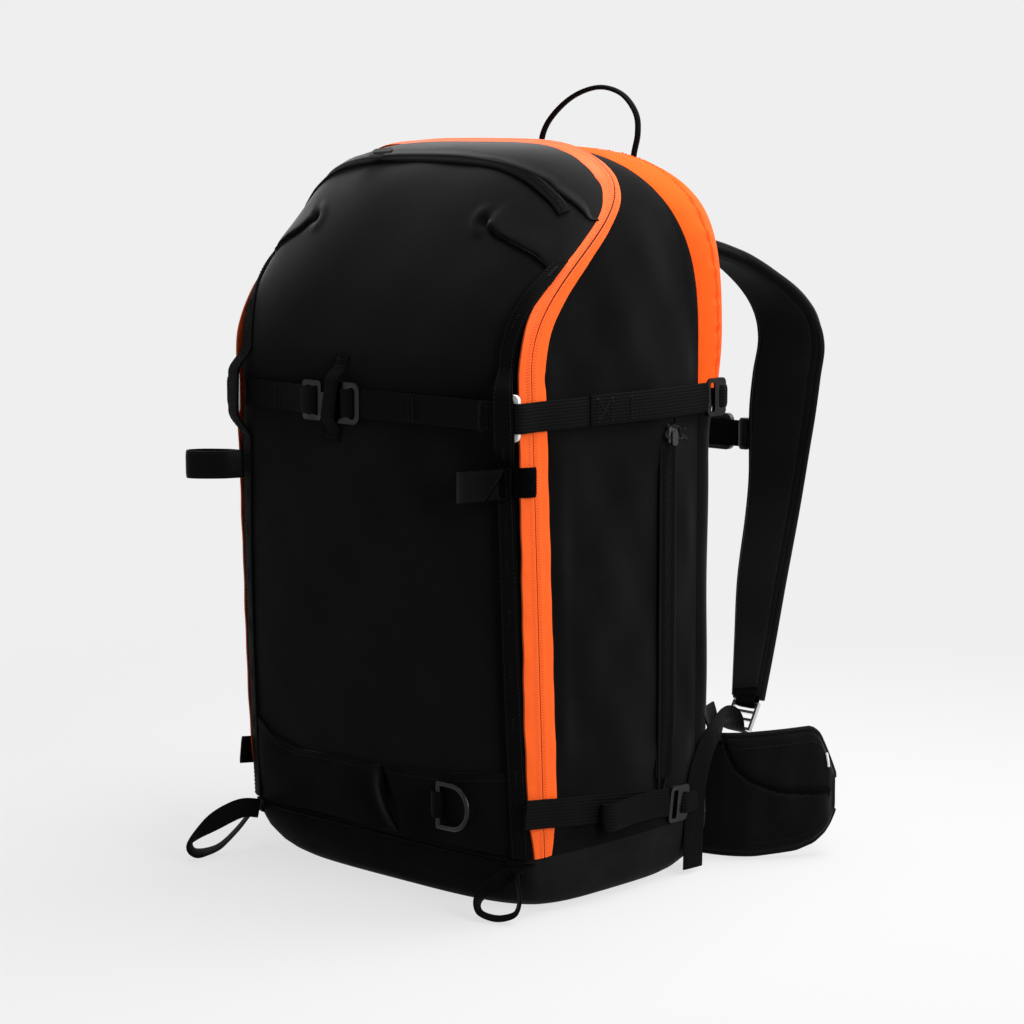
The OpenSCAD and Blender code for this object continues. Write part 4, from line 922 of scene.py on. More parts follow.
# Painted shadow: a thin near-black tube just under the fold of each dart, where the puffed cloth overhangs
def make_dart_shadows():
    for name, side in SIDES:
        line = smooth([(x * side, 0, z) for x, z in DART[1:]], 8)
        lift = door_bulge(line[:, 0], line[:, 2]) + 0.25
        path = on_front(line[:, 0], line[:, 2] - 0.7, lift)
        tube(f"dart_crease_{name}", path, 1.0, piping_and_shade_look, "front", sides=6, step=2)


make_edge_webbing()
make_dart_shadows()


# Front strap with its hook, keeper and folded tail
HOOK_X, FRONT_STRAP_LIFT = -34.0, 3.2


def strap_layer(x, lift, z=STRAP_Z):
    """Points that stand in front of the face by lift, at the strap's height unless told."""
    return points(x, front_y(x, z) - lift, z)


def keeper_at(z, lift):
    """Point of the leaning keeper, z above the strap's middle."""
    return strap_layer(HOOK_X + 5 + 0.16 * z, lift, STRAP_Z + z)


def make_front_strap():
    right = strap_layer(np.linspace(127, -10, 60), FRONT_STRAP_LIFT)
    left = strap_layer(np.linspace(-127, -49, 40), FRONT_STRAP_LIFT)
    band("front_strap_right", right, UPRIGHT, WEB_W, web_look, "front", ["front_strap"])
    band("front_strap_left", left, UPRIGHT, WEB_W, web_look, "front")
    face = float(front_y(HOOK_X, STRAP_Z))

    def wrap(bar, reach, sign):
        """Webbing that comes up through a slot, over a bar and back along the strap."""
        turns = ((16, 6.2), (7, 8.7), (2, 9.3), (-3.2, 8.6), (-4.6, 6.6), (-3.6, 4.6), (4, 3.9))
        over = [(bar + sign * x, face - h, STRAP_Z) for x, h in turns]
        return smooth([strap_layer(bar + sign * reach, 5.0), *over, strap_layer(bar + sign * 18, 3.4)], 6)

    narrow = WEB_W - 0.6
    band("front_wrap_ring", wrap(HOOK_X + 19, 126, 1), UPRIGHT, narrow, web_look, "front", step=1.2)
    band("front_wrap_hook", wrap(HOOK_X - 15.5, 40, -1), UPRIGHT, narrow, fine_web_look, "front", step=1.2)
    tail = [(110.5, 6.0), (112.5, 7.0), (117, 7.4), (123, 6.2)]
    tail = smooth([(x, front_y(x, STRAP_Z) - h, STRAP_Z - 0.4) for x, h in tail], 6)
    band("front_strap_tail", tail, UPRIGHT, WEB_W + 0.8, web_look, "front", thick=2.6)
    keep = [keeper_at(lerp(33.0, -27.0, k), lerp(10.6, 1.9, ease((abs(2 * k - 1) - 0.42) / 0.4)))
            for k in np.linspace(0, 1, 25)]
    band("strap_keeper", keep, (1, 0, 0), 13, web_look, "front", step=1.2)
    level, ahead = (1, 0, 0), (0, -1, 0)
    parts = []
    for x in (45, 49, -86, -90):
        parts += tack_parts(strap_layer(x, 6.0), UPRIGHT, level, ahead, 16)
    for z, lift in ((29.5, 3.3), (24.5, 4.8), (-24.0, 4.8)):
        parts += tack_parts(keeper_at(z, lift), level, UPRIGHT, ahead, 10)
    for x in (113.5, 119.5):
        parts += tack_parts(strap_layer(x, 8.9), UPRIGHT, level, ahead, 15)
    merge("front_strap_tacks", parts, thread_look, "front")


make_front_strap()


# Tool tabs: loops of hook-and-loop tape on the edge webbing, over a fuzzy patch
def edge_out(t, z):
    """Point of the door near its edge at a height, and the level direction out of it."""
    s, e = (z - SEAM_Z) / (SHOULDER_Z - SEAM_Z), 0.5
    spot, ahead, behind = door_point(np.full(3, s), np.array((t, t + e, t - e)))
    d = ahead - behind
    return spot, unit(np.array([-d[1], d[0], 0]))


# Name, side, turn in degrees, sideways shift, half opening, rise and sink of the tip
TABS = [("right", 1, 183, 4.0, 3.4, 3.5, 5.5), ("left", -1, 216, 0.0, 8.6, -TAB_DROP, 0.5)]


def make_tool_tabs():
    sewn = dict(pitch=2.6, length=1.6, d=0.4)
    spot, out = edge_out(TAB_TURN, TAB_Z)
    root = spot + out * (DAISY_LIFT + WEB_T + 2.8)
    for name, side, turn, s, gap, rise, sink in TABS:
        l, body = TAB_L - 4, f"tab_{name}"
        flat = [(0, -1.6), (l * 0.3, s - gap * 0.85), (l * 0.7, s - gap), (l - 2.6, s - gap * 0.66), (l, s),
                (l - 2.6, s + gap * 0.66), (l * 0.7, s + gap), (l * 0.3, s + gap * 0.85), (0, 1.6)]
        a = math.radians(turn)
        c, b = math.cos(a), math.sin(a)
        base = root * (side, 1, 1)
        path = smooth([(base[0] + x * c - y * b, base[1] + x * b + y * c, TAB_Z + rise - sink * x / l)
                       for x, y in flat], 8)
        band(f"tool_tab_{name}", path, UPRIGHT, WEB_W, tab_look, body, [f"tool_tab_{name}"], step=1.5)
        n = len(path)
        out_n = frames(path, UPRIGHT)[1]
        rim = [path[part] + (0, 0, z) + out_n[part] * k
               for part in (slice(2, n // 2 - 4), slice(n // 2 + 4, n - 2))
               for z in (-8.4, 8.4) for k in (-0.95, 0.95)]
        stitches(f"tool_tab_stitches_{name}", rim, thread_look, body, **sewn)
        barrel = points(base[0], base[1], TAB_Z + rise + np.linspace(-10, 10, 9))
        hem_look = fuzz_look if side > 0 else tab_look
        tube(f"tool_tab_hem_{name}", barrel, 3.8, hem_look, body, sides=14, step=2.0)
        if side > 0:
            strand = path[n // 2:][::-1]
            slant = lerp(0.0, 0.26, np.linspace(1, 0, 12))[:, None]
            at = lerp(slant, 0.97, np.linspace(0, 1, 40)[None]) * (len(strand) - 1)
            face = between(at, np.arange(len(strand)), strand)
            face[..., 2] += np.linspace(-10.4, 10.4, 12)[:, None]
            face[..., 1] -= 1.9
            sandwich("tool_tab_face_right", face, face + (0, 0.9, 0), tab_look, body)
            edge = np.concatenate([face[1, ::-1], face[1:-1, 1], face[-2]]) + (0, -0.25, 0)
            stitches("tool_tab_face_stitches", [edge], thread_look, body, **sewn)
    fuzz_z = TAB_Z + 4
    fuzz = [(118, -126.7), (125.6, -127.5), (131, -127.3), (134.6, -126.2)]
    fuzz = smooth([(x, y, fuzz_z) for x, y in fuzz], 6)
    band("tab_fuzz_right", fuzz, UPRIGHT, 20, fuzz_look, "tab_right", thick=1.4, step=1.5, across=11)
    pad = []
    for turn in np.linspace(33, 4, 10):
        spot, out = edge_out(turn, TAB_Z)
        pad.append(spot + out * lerp(4.3, 3.5, ease((turn - 14) / 16)) + (0, 0, 4))
    band("loop_tape_right", pad, UPRIGHT, 20, fuzz_look, "front", thick=1.8, step=1.5, across=11)


make_tool_tabs()


# D-ring keeper and the lower front panel with its pocket flap
RING_X, RING_Z, RING_D = 67.0, 70.0, 4.0


def make_ring_keeper():
    y = float(front_y(RING_X, RING_Z)) - 4.7
    reach, r = 8.0, RING_D / 2 + 0.95
    arc = [(r * math.cos(a), r * math.sin(a)) for a in np.radians(np.linspace(90, -90, 13))]
    path = [(-reach, r + 0.3), (-4, r + 0.3), *arc, (-2.5, -r + 0.2), (-5.5, -0.8), (-reach, r - 1.6)]
    path = [(RING_X + dx, y + dy, RING_Z) for dx, dy in path]
    band("ring_keeper", path, UPRIGHT, 18, web_look, "front", ["d_ring_keeper"], step=1.2)


SEAM_LINE = [(-128, 102), (-118, 97.5), (-107, 91), (-79, 86.5), (-46, 87.5), (10, 88), (65, 91), (123, 99),
             (128, 101)]
LOWER_Z = 42.0              # foot of the lower panel
FLAP_EDGE = [(88, 8.5), (75, 9.5), (58, 14.5), (48, 19), (42, 22.5)]


def make_lower_front():
    xs, zs = np.array(SEAM_LINE).T
    rows = np.linspace(0, 1, 40)[:, None]
    ez, ex = np.array(FLAP_EDGE[::-1]).T

    def overlay(name, left, right, lift, look=lower_look):
        share = np.linspace(0, 1, 90)[None]
        z = LOWER_Z + rows * 48 * np.ones_like(share)
        x = lerp(left(z), right(z), share)
        z = LOWER_Z + rows * (np.interp(x, xs, zs) - LOWER_Z)
        grid = on_front(x, z, 0.3 + 0 * x)
        cloth(name, grid, look, "front", thick=0.2, inward=1, bulge=lift(x, z, share))

    def edge(z):
        return np.interp(z, ez, ex)

    def mouth(z):
        """Width of the pocket's opening over the height."""
        return 8.0 * np.sin(np.pi * np.clip((z - 40) / 50, 0, 1))**0.8

    def flap_lift(x, z, share):
        lip = 3.6 * bell(1 - share, 0.05) * np.sin(np.pi * rows)**0.7
        waves = ripple(x, z, [(0.5, 70, 90, 0.5), (0.35, -45, 60, 2.0)])
        return 1.2 + lip + waves + 0.6 * bell(1 - rows, 0.06)

    def side_lift(x, z, share):
        return 0.8 + ripple(x, z, [(0.35, 60, 80, 1.1)]) + 0.6 * bell(1 - rows, 0.06)

    overlay("pocket_flap", lambda z: np.full(z.shape, -127.0), edge, flap_lift)
    # A near-black sheet in the pocket's opening: painted shade under the flap's lifted edge
    overlay("pocket_mouth_shade", lambda z: edge(z) - 6, lambda z: edge(z) + 9, lambda x, z, share: 0.3 + 0 * x,
            piping_and_shade_look)
    overlay("lower_panel", lambda z: edge(z) + mouth(z), lambda z: np.full(z.shape, 127.0), side_lift)
    line = smooth([(x, 0, z) for x, z in SEAM_LINE], 8)
    tube("lower_seam", on_front(line[:, 0], line[:, 2] + 0.4, 1.2 + 0 * line[:, 0]), 1.8, shell_look, "front",
         sides=8)
    stitches("lower_stitches", [on_front(line[:, 0], line[:, 2] - 4, 2.2 + 0 * line[:, 0])], thread_look,
             "front", pitch=3.2, d=0.4)


make_ring_keeper()
make_lower_front()


# Straps on the sides, each with its doubled tail
def strap_run(z0, z1, y0, y1):
    y = np.linspace(y0, y1, 60)
    x = np.where(y < -ZIP_Y, ZIP_W, side_x(y)) + lerp(4.4, 1.4, ease((y + 86) / 40))
    return points(x, y, lerp(z0, z1, (y + ZIP_Y) / (ZIP_Y + y1)))


def make_side_straps():
    upper = strap_run(STRAP_Z, STRAP_Z, -ZIP_Y - 11, 71)
    y, tail_z = np.linspace(72, -53, 64), STRAP_Z + 0.4
    droop = 0.9 * np.sin(np.pi * (72 - y) / 125) + 1.7
    tail = points(np.interp(y, upper[:, 1], upper[:, 0]) + droop, y, tail_z)
    fold = tail[-1] + [(-0.4, -2.2, 0), (-1.6, -2.6, 0), (-2.2, -0.8, 0)]
    hold = [(139.6, -120.5), (140.1, -123.6), (141.2, -125.8), (143.0, -126.4), (144.7, -125.3),
            (145.4, -123.0), (145.4, -118)]
    hold = smooth([(a, b, STRAP_Z) for a, b in hold] + [tuple(upper[0])], 5)
    upper = np.concatenate([hold[:-1], upper])
    edge = side_x(COVER_Y)
    loop = [(edge + 3.4, 84), (edge + 4.6, 87), (edge + 2.5, 93), (REAR_W + 6.5, 99), (REAR_W + 1, 101.5)]
    anchor = smooth([(a, b, STRAP_Z) for a, b in loop], 6)
    lower = strap_run(72, 57, -ZIP_Y - 21, 28)

    def on_tail(at, lift, rise=0.0):
        return np.array((np.interp(at, y[::-1], tail[::-1, 0]) + lift, at, tail_z + rise))

    def low_at(at, lift, drop=0.0):
        x, z = (np.interp(at, lower[:, 1], lower[:, k]) for k in (0, 2))
        return x + lift, at, z - drop

    low_tail = ((29, 2.0), (14, 2.2), (-4, 3.2, 1), (-22, 5.4, 3), (-37, 7.6, 5), (-44, 7.0, 6),
                (-46, 4.6, 6), (-42, 2.6, 6), (-30, 1.9, 5), (-14, 1.8, 3))
    low_tail = smooth([low_at(*place) for place in low_tail], 6)
    x = side_x(39.0) + 2
    low_anchor = smooth([(x + 2.0, 41, 55), (x + 4.4, 44, 54.6), (x + 3.2, 50, 54), (x + 0.6, 58, 53),
                         (x - 2.2, 66, 52)], 6)
    for name, side in SIDES:
        m = np.array((side, 1, 1))

        def strip(piece, path, width, nodes=(), step=1.5):
            band(f"{piece}_{name}", path * m, UPRIGHT, width, web_look, "pack", nodes, step=step)

        strip("upper_strap", upper, WEB_W, [f"upper_strap_{name}"], 2.0)
        strip("upper_tail", np.concatenate([tail, fold]), WEB_W + 0.6)
        strip("upper_anchor", anchor, 15)
        parts = []
        for at in (-50, -36, -17):
            parts += tack_parts(on_tail(at, 0.9) * m, UPRIGHT, (0, 1, 0), (side, 0, 0), 16)
        for k in (-1, 1):
            cross = [on_tail(-49, 1.0, 7 * k) * m, on_tail(-37, 1.0, -7 * k) * m]
            parts += stitch_parts(cross, pitch=2.4, length=1.9, d=0.6)
        merge(f"upper_tacks_{name}", parts, thread_look, "pack")
        strip("lower_strap", lower, WEB_W, [f"lower_strap_{name}"], 2.0)
        strip("lower_tail", low_tail, WEB_W - 0.5)
        strip("lower_anchor", low_anchor, 15)


make_side_straps()


# Axe loops at the front corners of the base, and the haul loop
AXE_A, AXE_Z = 38.0, 33.0
HAUL_X, HAUL_Y, HAUL_Z = 44.0, REAR_Y + 4.6, REAR_TOP - 8


def make_loops():
    spot, out = edge_out(AXE_A, SEAM_Z)
    right = [(-3, -2, -1), (-10, -5, -8), (-22, -9, -19), (-21, -11, -28), (-8, -11, -31), (5, -10, -27),
             (8, -8, -18), (5, -5, -8), (3, -2, -1)]
    left = [(-4, -2.4, 0), (-5, -18, 2), (-5, -40, -6), (-2, -56, -19), (1, -50, -28), (4, -32, -27),
            (5, -16, -16), (4, -3.6, -2)]
    a = math.atan2(out[1], out[0]) + math.pi / 2
    turn = np.array([[math.cos(a), -math.sin(a), 0], [math.sin(a), math.cos(a), 0], [0, 0, 1]])
    for name, side, pts, width, lift in (("right", 1, right, 12, 2.8), ("left", -1, left, 14, 1.95)):
        at = np.array((spot[0], spot[1], AXE_Z)) + out * lift
        m = np.array((side, 1, 1))
        path = (smooth(pts, 7) @ turn.T + at) * m
        body = f"axe_{name}"
        back = np.array((0.678, -0.723, 0.136))
        flat = unit(np.cross(unit(np.gradient(path, axis=0)), back))
        share = np.linspace(0, 1, len(path))[:, None]
        edge_on = ease((share - 0.12) / 0.4) * 0.82 if side < 0 else 0.3 + 0.55 * ease((share - 0.15) / 0.3)
        wide = lerp(flat, back, edge_on)
        band(f"axe_loop_{name}", path, wide, width, web_look, body, [f"axe_loop_{name}"], step=1.5)
        hem = (points(np.linspace(-6, 6, 9), 0, 0) @ turn.T + at) * m
        tube(f"axe_hem_{name}", hem, 3.0, web_look, body, sides=14, step=2)
        neck = points(spot[0], spot[1], np.linspace(SEAM_Z - 0.5, AXE_Z - 3, 8)) + out * (lift - 1.0)
        band(f"axe_neck_{name}", neck * m, np.cross(out * m, UPRIGHT), 12, web_look, "pack", thick=1.4)
    pts = [(-HAUL_X, 0), (-HAUL_X - 7, 24), (-HAUL_X - 2, 41), (-HAUL_X + 14, 56), (-HAUL_X + 33, 65.5),
           (10, 69), (HAUL_X - 14, 63.5), (HAUL_X - 1, 50), (HAUL_X + 1, 35), (HAUL_X - 3, 17), (HAUL_X, 0)]
    path = smooth([(x, 0, z) for x, z in pts], 10) + (0, HAUL_Y, HAUL_Z)
    tube("haul_loop", path, 5.4, web_look, "haul", ["haul_loop"], sides=16, step=2, wide=(0, 1, 0), flat=0.66)
    for name, side in SIDES:
        hem = points(side * HAUL_X + np.linspace(-7, 7, 7), HAUL_Y, HAUL_Z)
        tube(f"haul_hem_{name}", hem, 6.4, web_look, "haul", sides=14, step=2)


make_loops()


# Back: spacer mesh, pads and the lumbar pad
def pillow(name, grid, thick, power, quilt):
    """Stuffed pad on a grid that faces away from the pack; its rim rounds down to the back."""
    m, n = grid.shape[:2]
    a, b = np.linspace(-1, 1, m)[:, None], np.linspace(-1, 1, n)[None]
    dome = ((1 - np.abs(a)**power) * (1 - np.abs(b)**power)).clip(0, 1)**0.45
    rise = 0.25 + 0.75 * dome - quilt(a, b)
    top = grid + np.array((0, 1, 0)) * (thick * rise)[..., None]
    low = grid + np.array((0, 0.4, 0))
    piece = sandwich(name, top, low, mesh_look, "pack", [name])


def back_grid(z0, z1, u0, u1, rows, cols):
    z = np.linspace(z0, z1, rows)[:, None]
    k = np.clip((z - SHOULDER_Z) / (REAR_TOP - SHOULDER_Z), 0, 1)
    half = REAR_W * (1 - k**ARCH_N)**(1 / ARCH_N)
    u = np.linspace(u0, u1, cols)[None]
    return points(half * (2 * u - 1), rear_y(z), z)


def make_back():
    grid = back_grid(41, REAR_TOP - 2, 0.0, 1.0, 130, 70)
    lift = 0.3 * np.sin(grid[..., 0] / 9) * np.sin(grid[..., 2] / 11)
    cloth("back_mesh", grid, mesh_look, "pack", ["back_panel"], bulge=lift)
    bars = [150, 205, 260, 315, 370]

    def channels(a, b):
        z = 240 + 168 * a
        return sum(0.35 * bell(z - k, 4.0) for k in bars) + 0 * b

    for name, u0, u1 in (("right", 0.565, 0.875), ("left", 0.125, 0.435)):
        pad = back_grid(130, 412, u0, u1, 150, 44)
        pillow(f"back_pad_{name}", pad, 13.5, 7, channels)
    x = np.linspace(-FIN_X + 7.5, FIN_X - 7.5, 80)[None]
    z = np.linspace(14.5, 97.5, 46)[:, None]
    pad = points(x, BACK_Y + 0.5, z)

    def tufts(a, b):
        return 0.22 * bell(a, 0.06) + 0.2 * bell(np.abs(b) - 0.45, 0.035)

    pillow("lumbar_pad", pad, 22.0, 6, tufts)


make_back()


# Shoulder straps: foam pads between two edge lines, bound along the edges
ROOT_Z, PAD_END = REAR_TOP - 58, 107.0


def strap_edges():
    def up(k):
        return lerp(PAD_END, ROOT_Z, k)

    ry, cx, cy, end = REAR_Y, CHEST_X, CHEST_Y, CHEST_X + PAD_W
    inner = [(42, ry + 4.3, 1), (46, ry + 32, 1.027), (54, cy - 47, 1.003), (62, cy - 19, 0.94),
             (cx + 3.5, cy - 3, 0.868), (cx + 7, cy + 1, 0.796), (cx + 3, cy, 0.715), (cx, cy, 0.634),
             (cx, cy, 0.553), (cx, cy, 0.471), (cx + 1, cy - 5, 0.384), (cx + 6, cy - 20, 0.249),
             (cx + 15, cy - 34, 0.117), (cx + 27, cy - 51, 0)]
    outer = [(86, ry + 4.3, 0.994), (92, ry + 32, 1.009), (102, cy - 47, 0.976), (end - 12, cy - 19, 0.916),
             (end, cy - 3, 0.853), (end + 5.5, cy + 1, 0.79), (end + 3, cy, 0.715), (end - 1, cy, 0.634),
             (end - 6, cy, 0.553), (end - 11, cy, 0.471), (end - 13, cy - 5, 0.384),
             (end - 11.5, cy - 20, 0.249), (end - 10, cy - 34, 0.117), (end - 6, cy - 51, 0)]
    return [smooth([(x, y, up(k)) for x, y, k in line], 10) for line in (inner, outer)]


def make_shoulder_straps():
    inner, outer = strap_edges()
    mid = (inner + outer) / 2
    w, n = frames(mid, outer - inner)
    half = np.linalg.norm(outer - inner, axis=1) / 2
    n = n * np.sign(n[60] @ np.array((0, 1, 0)))
    run, sewn = run_along(mid), 0.68         # sewn: share of the half width where the stitches lie
    ends = ease(run / 10) * ease((run[-1] - run) / 8)
    for name, side in SIDES:
        m = np.array((side, 1, 1))
        q = np.linspace(-1, 1, 31)
        puff = (1 - np.abs(q)**6)**0.5
        wave = 1 + 0.05 * np.sin(run / 9)[:, None] * (1 - q**2)[None] + 0.03 * np.sin(run / 23 + 1)[:, None]
        deep = (0.18 + 0.82 * puff[None] * wave * (0.55 + 0.45 * ends)[:, None]) * PAD_T / 2
        groove = 1.1 * bell(np.abs(q) - sewn, 0.05)[None] * ends[:, None]
        flat = mid[:, None] + w[:, None] * (q[None] * (half - 1.0)[:, None])[..., None]
        front = flat + n[:, None] * (deep - groove)[..., None]
        rear = flat - n[:, None] * deep[..., None]
        piece = sandwich(f"shoulder_strap_{name}", front * m, rear * m, pad_look, "pack",
                         [f"shoulder_strap_{name}"])
        use = slice(3, -2)
        cut = np.abs(q) < 0.85
        liner = (rear - n[:, None] * 0.5)[use][:, cut]
        sandwich(f"strap_mesh_{name}", liner * m, (liner + n[use][:, None] * 0.9) * m, mesh_look, "pack")
        for k, edge in (("inner", inner + w * 1.8), ("outer", outer - w * 1.8)):
            tube(f"strap_binding_{name}_{k}", edge * m, 5.8, bind_look, "pack", sides=10, step=4,
                 wide=(1, 0, 0))
        for k, share in (("inner", -sewn), ("outer", sewn)):
            lift = deep[:, int((share + 1) * 15)] - 0.9
            line = mid + w * (share * (half - 1.0))[:, None] + n * lift[:, None]
            stitches(f"strap_stitches_{name}_{k}", [line[6:-5] * m], thread_look, "pack", pitch=4.0,
                     length=2.8, d=0.6)
        part = slice(32, 112)
        rail = mid[part] + n[part] * (deep[part, 15] + 1.0)[:, None]
        band(f"strap_web_{name}", rail * m, (outer - inner)[60] * m, WEB_W + 5, web_look, "pack", step=3)


BUCKLE = np.array((CHEST_X + 42, CHEST_Y - 54, PAD_END - 3.6))


def make_strap_webbing():
    bx = BUCKLE[0]
    pts = [(bx, 149.2, 84.4), (bx + 2, 142, 88), (bx + 8, 131, 96), (bx + 16, 117, 101), (bx + 24, 101, 101),
           (ZIP_W - 1.5, 84, 95), (ZIP_W + 1, 71.5, 83), (ZIP_W + 1.6, 63.5, 63), (ZIP_W + 1.6, 60.5, 32),
           (ZIP_W + 1.6, 59.5, 3)]
    path = smooth(pts, 8)
    steps = np.arange(len(path)) * 3 / 8
    face = unit(points(1, lerp(0.42, 0, np.minimum(1, steps / 15)), 0))
    wide = lerp(np.array((-1, 0, 0)), np.cross(face, unit(np.gradient(path, axis=0))),
                ease((steps - 1) / 8)[:, None])
    fold = math.radians(-30)
    dip = np.array((0, -math.sin(fold), math.cos(fold)))
    out = np.array((0, math.cos(fold), math.sin(fold)))
    for name, side in SIDES:
        m = np.array((side, 1, 1))
        band(f"strap_webbing_{name}", path * m, wide * m, 21, web_look, "pack", [f"strap_webbing_{name}"],
             step=1.6)
        turns = ((9.5, -2.6), (3, -2.7), (-2.0, -2.2), (-2.9, 0), (-2.0, 2.2), (3, 2.7), (9.5, 2.6))
        arc = [BUCKLE + dip * d + out * h for d, h in turns]
        band(f"buckle_loop_{name}", smooth(arc, 6) * m, (1, 0, 0), 17, web_look, "pack", thick=1.4, step=1)
        rows = [((REAR_W + 4, BACK_Y + 8, 118), (ZIP_W - 6, 82, 116), (ZIP_W - 0.5, 74, 112)),
                ((REAR_W + 4, BACK_Y + 12, 104), (ZIP_W - 8, 92, 101), (ZIP_W - 3, 84, 97)),
                ((REAR_W + 4, BACK_Y + 6, 84), (ZIP_W - 6, 84, 86), (ZIP_W - 0.5, 76, 88))]
        top = np.array([smooth(r, 8) for r in zip(*rows)]).transpose(1, 0, 2)
        cloth(f"strap_wing_{name}", top * m, shell_look, "pack", thick=1.6, inward=side)


make_shoulder_straps()
make_strap_webbing()


# Sternum strap with its two rail clips
def block_parts(centre, size, rings=15, corners=24):
    """Moulded clip: a rounded bar with a crowned face and a waist."""
    (cx, cy, cz), (lx, ly, lz) = centre, size
    a = 2 * np.pi * np.arange(corners) / corners
    r = round_r(a, 5.0)
    rows = []
    for k in np.linspace(-1, 1, rings):
        shrink = 1 - 0.28 * abs(k)**8
        waist, crown = 1 - 0.12 * math.cos(k * math.pi / 2), 1 + 0.06 * (1 - k * k)
        rows.append(points(cx + lx / 2 * r * np.cos(a) * waist * shrink,
                           cy + ly / 2 * r * np.sin(a) * shrink * crown, cz + lz / 2 * k))
    uv = np.stack([np.tile(a * lx / 2, rings), np.repeat(np.linspace(0, lz, rings), corners)], axis=1)
    return np.concatenate(rows), closed_faces(rings, corners), uv


def make_sternum():
    x = np.linspace(-CHEST_X + 5, CHEST_X - 5, 40)
    sag = 1.4 * np.cos(np.pi * x / (2 * CHEST_X))
    path = points(x, CHEST_Y, STERNUM_Z - sag * 0.6)
    band("sternum_strap", path, UPRIGHT, WEB_W, web_look, "sternum", ["sternum_strap"])
    clips = [block_parts((k * (CHEST_X - 5.5), CHEST_Y, STERNUM_Z), (9, 8, WEB_W + 4)) for k in (-1, 1)]
    merge("sternum_clips", clips, black_plastic, "sternum")
    x = np.linspace(44, 8, 24)
    tail = points(x, CHEST_Y + 6.6 + 1.6 * np.sin((44 - x) / 36 * 3), STERNUM_Z + 1.0)
    band("sternum_tail", tail, UPRIGHT, WEB_W - 1, web_look, "sternum")


make_sternum()


# Hip fins with a bound rim, a zipped pocket and the belt webbing
# Shares along a fin with a height each: its pocket zip, lower and upper edge
FIN_POCKET = [(0.32, 90), (0.345, 80), (0.40, 67), (0.50, 57), (0.66, 50), (0.82, 48), (0.95, 47)]
FIN_LOW = [(0, 2.6), (0.5, 3.0), (0.75, 6), (0.86, 10.5), (0.93, 17), (0.97, 24), (1, 32)]
FIN_HIGH = [(0, FIN_TOP - 9), (0.2, FIN_TOP - 6), (0.5, FIN_TOP - 3.4), (0.84, FIN_TOP - 0.6),
            (0.89, FIN_TOP - 5), (0.94, FIN_TOP - 18), (0.975, FIN_TOP - 28), (1, FIN_TOP - 36)]


def on_grid(grid, k, v):
    """Points of a grid at shares of its rows and columns."""
    m, n = grid.shape[:2]
    i, j = np.clip(k, 0, 1) * (m - 1.001), np.clip(v, 0, 1) * (n - 1.001)
    a, b = i.astype(int), j.astype(int)
    fa, fb = (i - a)[:, None], (j - b)[:, None]
    return lerp(lerp(grid[a, b], grid[a + 1, b], fa), lerp(grid[a, b + 1], grid[a + 1, b + 1], fa), fb)


